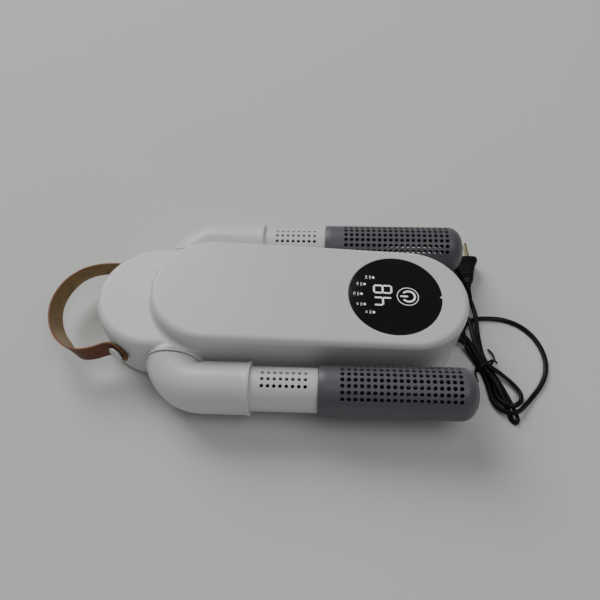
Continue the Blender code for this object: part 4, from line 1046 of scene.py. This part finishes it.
def pierced_tube(before, first, pitch, columns, bands, hole, after, tip=None):
    """A tube wall about Z with rows of round holes.

    before and after hold (height, outer radius, inner radius) at the ends of the pierced part, and tip the
    outer and inner height of a closed end. Each hole sits in a cell of four by four small faces.
    """
    lines, starts = angle_lines(bands)
    outer, inner = before[-1][1:]
    begin = first - pitch / 2
    stations = before + [(begin + pitch * i / 4, outer, inner) for i in range(4 * columns + 1)] + after
    shape, known = Shape(), {}

    def spot(height, angle, radius):
        a = math.radians(angle)
        return (radius * math.cos(a), radius * math.sin(a), height)

    def at(skin, i, j):
        j %= len(lines)
        if (skin, i, j) not in known:
            known[skin, i, j] = shape.ring([spot(stations[i][0], lines[j], stations[i][1 + skin])])[0]
        return known[skin, i, j]

    cells = [(len(before) + 4 * c, j) for c in range(columns) for j in starts]
    covered = {(i + a, j + b) for i, j in cells for a in range(4) for b in range(4)}
    for i in range(len(stations) - 1):
        for j in range(len(lines)):
            if (i, j) not in covered:
                for skin in (0, 1):
                    shape.faces.append((at(skin, i, j), at(skin, i, j + 1),
                                        at(skin, i + 1, j + 1), at(skin, i + 1, j)))
    edge = [(0, k) for k in range(4)] + [(k, 4) for k in range(4)] + [(4, 4 - k) for k in range(4)] \
        + [(4 - k, 0) for k in range(4)]
    for i, j in cells:
        centre = (stations[i + 2][0], (lines[j] + lines[(j + 4) % len(lines)]) / 2 if j + 4 < len(lines)
                  else lines[j] + (lines[j + 1] - lines[j]) * 2)
        rings = [[at(0, i + a, j + b) for a, b in edge]]
        for radius, grow in ((outer, 0.16), (outer - 0.16, 0.0), (inner, 0.0)):
            ring = []
            for a, b in edge:
                turn = math.atan2(b - 2, a - 2)
                up, across = (hole + grow) * math.cos(turn), (hole + grow) * math.sin(turn)
                ring.append(spot(centre[0] + up, centre[1] + math.degrees(across / outer), radius))
            rings.append(shape.ring(ring))
        rings.append([at(1, i + a, j + b) for a, b in edge])
        for one, two in zip(rings, rings[1:]):
            shape.bridge(one, two)
    for i in [0] if tip else [0, len(stations) - 1]:
        shape.bridge([at(0, i, j) for j in range(len(lines))], [at(1, i, j) for j in range(len(lines))])
    if tip:
        for skin, height in enumerate(tip):
            point = shape.ring([(0.0, 0.0, height)])[0]
            last = len(stations) - 1
            for j in range(len(lines)):
                shape.faces.append((at(skin, last, j), at(skin, last, j + 1), point))
    return shape


def paint_inside_shade(shown, name, shade_from):
    """Paints shade black: gives a tube's unlit inside faces, and its length past a distance along the arm,
    the second material, which stands in for the shade there.
    """
    middle = Vector((PIVOT.x, SIDES[name] * ARM_Y, PIVOT.z))
    for face in shown.data.polygons:
        from_pivot = face.center / MM - middle
        along = from_pivot.dot(ARM_AXIS)
        outwards = (from_pivot - along * ARM_AXIS).normalized()
        faces_in = outwards.dot(face.normal) < FACES_IN
        # Faces in shade get the black second material as painted shade.
        face.material_index = 1 if faces_in or along > shade_from else 0


def make_tube(name):
    low, high = GROOVE_X
    before = [(x, TUBE_RADIUS, TUBE_INNER) for x in (TUBE_X[0], ELBOW_END, ELBOW_END + 3.0)]
    after = [(x, TUBE_RADIUS, TUBE_INNER) for x in (NOZZLE_X[0], 120.0, low - 0.1)]
    after += [(low, GROOVE_RADIUS, TUBE_INNER), (high, GROOVE_RADIUS, TUBE_INNER),
              (high + 0.1, TUBE_RADIUS, TUBE_INNER), (TUBE_X[1] - 0.5, TUBE_RADIUS, TUBE_INNER),
              (TUBE_X[1], TUBE_RADIUS - 0.5, TUBE_INNER)]
    tube = pierced_tube(before, TUBE_FIRST_HOLE, TUBE_PITCH, TUBE_COLUMNS, [(0.0, TUBE_ROWS, TUBE_ROW_STEP)],
                        TUBE_HOLE, after)
    tube.placed(on_arm(name))
    # The second material, BLACK, is painted shade on the tube's inside and on its length inside the nozzle.
    shown = show(f"{name}_inner_tube", tube, [WHITE, BLACK], f"{name}_telescope", f"{name}_tube",
                 slot="white_plastic")
    paint_inside_shade(shown, name, NOZZLE_X[0] + 3.0)


def make_nozzle(name):
    bands = [(NOZZLE_ROW_CENTRE + turn, NOZZLE_ROWS, NOZZLE_ROW_STEP) for turn in (0.0, 180.0)]
    low = NOZZLE_X[0]
    before = [(low, NOZZLE_RADIUS - 0.9, NOZZLE_INNER + 0.3),
              (low + 0.25, NOZZLE_RADIUS - 0.35, NOZZLE_INNER)]
    before += [(low + x, NOZZLE_RADIUS, NOZZLE_INNER) for x in (0.9, 6.0, 12.0)]
    depth = NOZZLE_X[1] - (NOZZLE_FIRST_HOLE + (NOZZLE_COLUMNS - 0.5) * NOZZLE_PITCH) - 0.3
    start = NOZZLE_X[1] - depth
    after = []
    for i in range(16):
        a = math.radians(90.0 * i / 16)
        after.append((start + depth * math.sin(a), NOZZLE_RADIUS * math.cos(a) ** 0.86,
                      NOZZLE_INNER * math.cos(a) ** 0.86))
        after[-1] = (after[-1][0], after[-1][1], min(after[-1][2], max(after[-1][1] - 1.4, 0.4)))
    nozzle = pierced_tube(before, NOZZLE_FIRST_HOLE, NOZZLE_PITCH, NOZZLE_COLUMNS, bands, NOZZLE_HOLE, after,
                          (NOZZLE_X[1], NOZZLE_X[1] - 1.9))
    nozzle.placed(on_arm(name))
    # The second material, BLACK, is painted shade on the nozzle's inside faces.
    shown = show(f"{name}_air_nozzle", nozzle, [GREY, BLACK], f"{name}_nozzle_sleeve", f"{name}_nozzle",
                 slot="grey_plastic")
    paint_inside_shade(shown, name, math.inf)


# ---------------------------------------------------------------- strap

def stud_direction(side):
    return (-math.cos(STUD_ANGLE), side * math.sin(STUD_ANGLE), 0.0)


def make_stud(name, side):
    reach = STUD_HEAD_REACH
    wall = TAIL[1] - 0.5
    profile = [(2.0, 37.0), (2.0, wall), (STUD_SHANK, wall), (STUD_SHANK, reach[0] - 0.3)]
    profile += [(STUD_SHANK + 0.3, reach[0]), (STUD_HEAD - 0.4, reach[0]), (STUD_HEAD, reach[0] + 0.4)]
    profile += [(STUD_HEAD, reach[0] + 0.9)] + corner((STUD_HEAD - 0.9, reach[0] + 0.9), 0.9, 20.0, 90.0)[:-1]
    profile += [(STUD_HEAD - 1.5, reach[1] - 0.02), (0.3, reach[1] + 0.15)]
    shape = Shape().loft([circle(radius, z, 64) for radius, z in profile])
    shape.placed(aimed(stud_direction(side), (TAIL[0], 0, STUD_Z)))
    show(f"{name}_stud_button", shape, WHITE, "housing", f"{name}_strap_stud", slot="white_plastic")


def strap_section(half_width, half_thick):
    """Outline of the band as (outwards, upwards) points."""
    r = min(0.45, half_width * 0.5)
    flat = [(half_width - r) * k for k in (-0.9, -0.5, 0.0, 0.5, 0.9)]
    top = corner((half_thick - r, half_width - r), r, 0.0, 90.0)
    outer = [(half_thick, up) for up in flat] + top
    inner = [(-a, b) for a, b in top[::-1]] + [(-half_thick, up) for up in flat[::-1]]
    return outer + inner + [(-a, -b) for a, b in top] + [(a, -b) for a, b in top[::-1]]


def make_strap():
    """A flat leather band bent into a U: grain outside, suede inside, dyed edges and round ends."""
    plan = evenly(smooth_through(STRAP_PLAN, 12), 260)
    along = walked(plan[:, :2])
    ahead = np.gradient(plan[:, :2], axis=0)
    across = np.stack([-ahead[:, 1], ahead[:, 0]], axis=1) / np.linalg.norm(ahead, axis=1)[:, None]
    rings = []
    half = STRAP_WIDTH / 2
    for (x, y, lean), out, distance in zip(plan, across, along):
        inset = max(half - min(distance, along[-1] - distance), 0.0)
        width = max(math.sqrt(max(half**2 - inset**2, 0.0)), 0.35)
        section = [(through + lean * up / half, up) for through, up in strap_section(width, STRAP_THICK / 2)]
        rings.append([(x + out[0] * shift, y + out[1] * shift, STUD_Z + up) for shift, up in section])
    band = Shape().loft(rings)
    mesh = mesh_from("carry_band", band.points, band.faces)
    holes = [Shape().loft([circle(STRAP_HOLE, z, 40) for z in (40.0, 50.0)])
             .placed(aimed(stud_direction(side), (TAIL[0], 0, STUD_Z))) for side in SIDES.values()]
    mesh = cut(mesh, holes)
    mesh.shade_smooth()
    mesh.set_sharp_from_angle(angle=math.radians(50.0))
    show("carry_band", mesh, [GRAIN, SUEDE, EDGE], "strap", "carry_strap", slot="leather")
    for face in mesh.polygons:
        centre = np.array(face.center[:2]) / MM
        nearest = int(np.argmin(((plan[:, :2] - centre) ** 2).sum(axis=1)))
        facing = float(np.dot(face.normal[:2], across[nearest]))
        face.material_index = 2 if abs(facing) < 0.75 else 0 if facing > 0 else 1


# ---------------------------------------------------------------- carried-over CAD pieces

CARRIED = {
    "bottom_cover": WHITE, "impeller": WHITE, "blower_scroll": DUCT, "blower_lid": DUCT, "heater_duct": DUCT,
    "air_manifold": DUCT, "display_module": BLACK, "relay": BLACK, "fan_motor": STEEL, "motor_shaft": STEEL,
    "capacitor": ALUMINIUM, "ptc_heater": ALUMINIUM, "thermostat": BRASS, "plug_blade_1": BRASS,
    "plug_blade_2": BRASS, "control_board": BOARD, "power_board": BOARD, "intake_filter": FOAM,
}
CARRIED |= {f"foot_{i}": RUBBER for i in range(1, 5)}
CARRIED |= {f"cover_screw_{i}": STEEL for i in range(1, 7)}
CARRIED |= {f"{side}_{part}": look for side in SIDES
            for part, look in (("tube_ring", RUBBER), ("retaining_ring", STEEL))}


def dress_cad_pieces():
    for node, look in CARRIED.items():
        slots = frame["nodes"][node].data.materials
        for i in range(len(slots)):
            slots[i] = look
        if not slots:
            slots.append(look)


def main():
    make_camera()
    make_cord()
    make_floor()
    make_light()
    make_housing()
    make_panel()
    for name, side in SIDES.items():
        make_collar(name, side)
        make_elbow(name, side)
        make_tube(name)
        make_nozzle(name)
        make_stud(name, side)
    make_strap()
    dress_cad_pieces()


main()
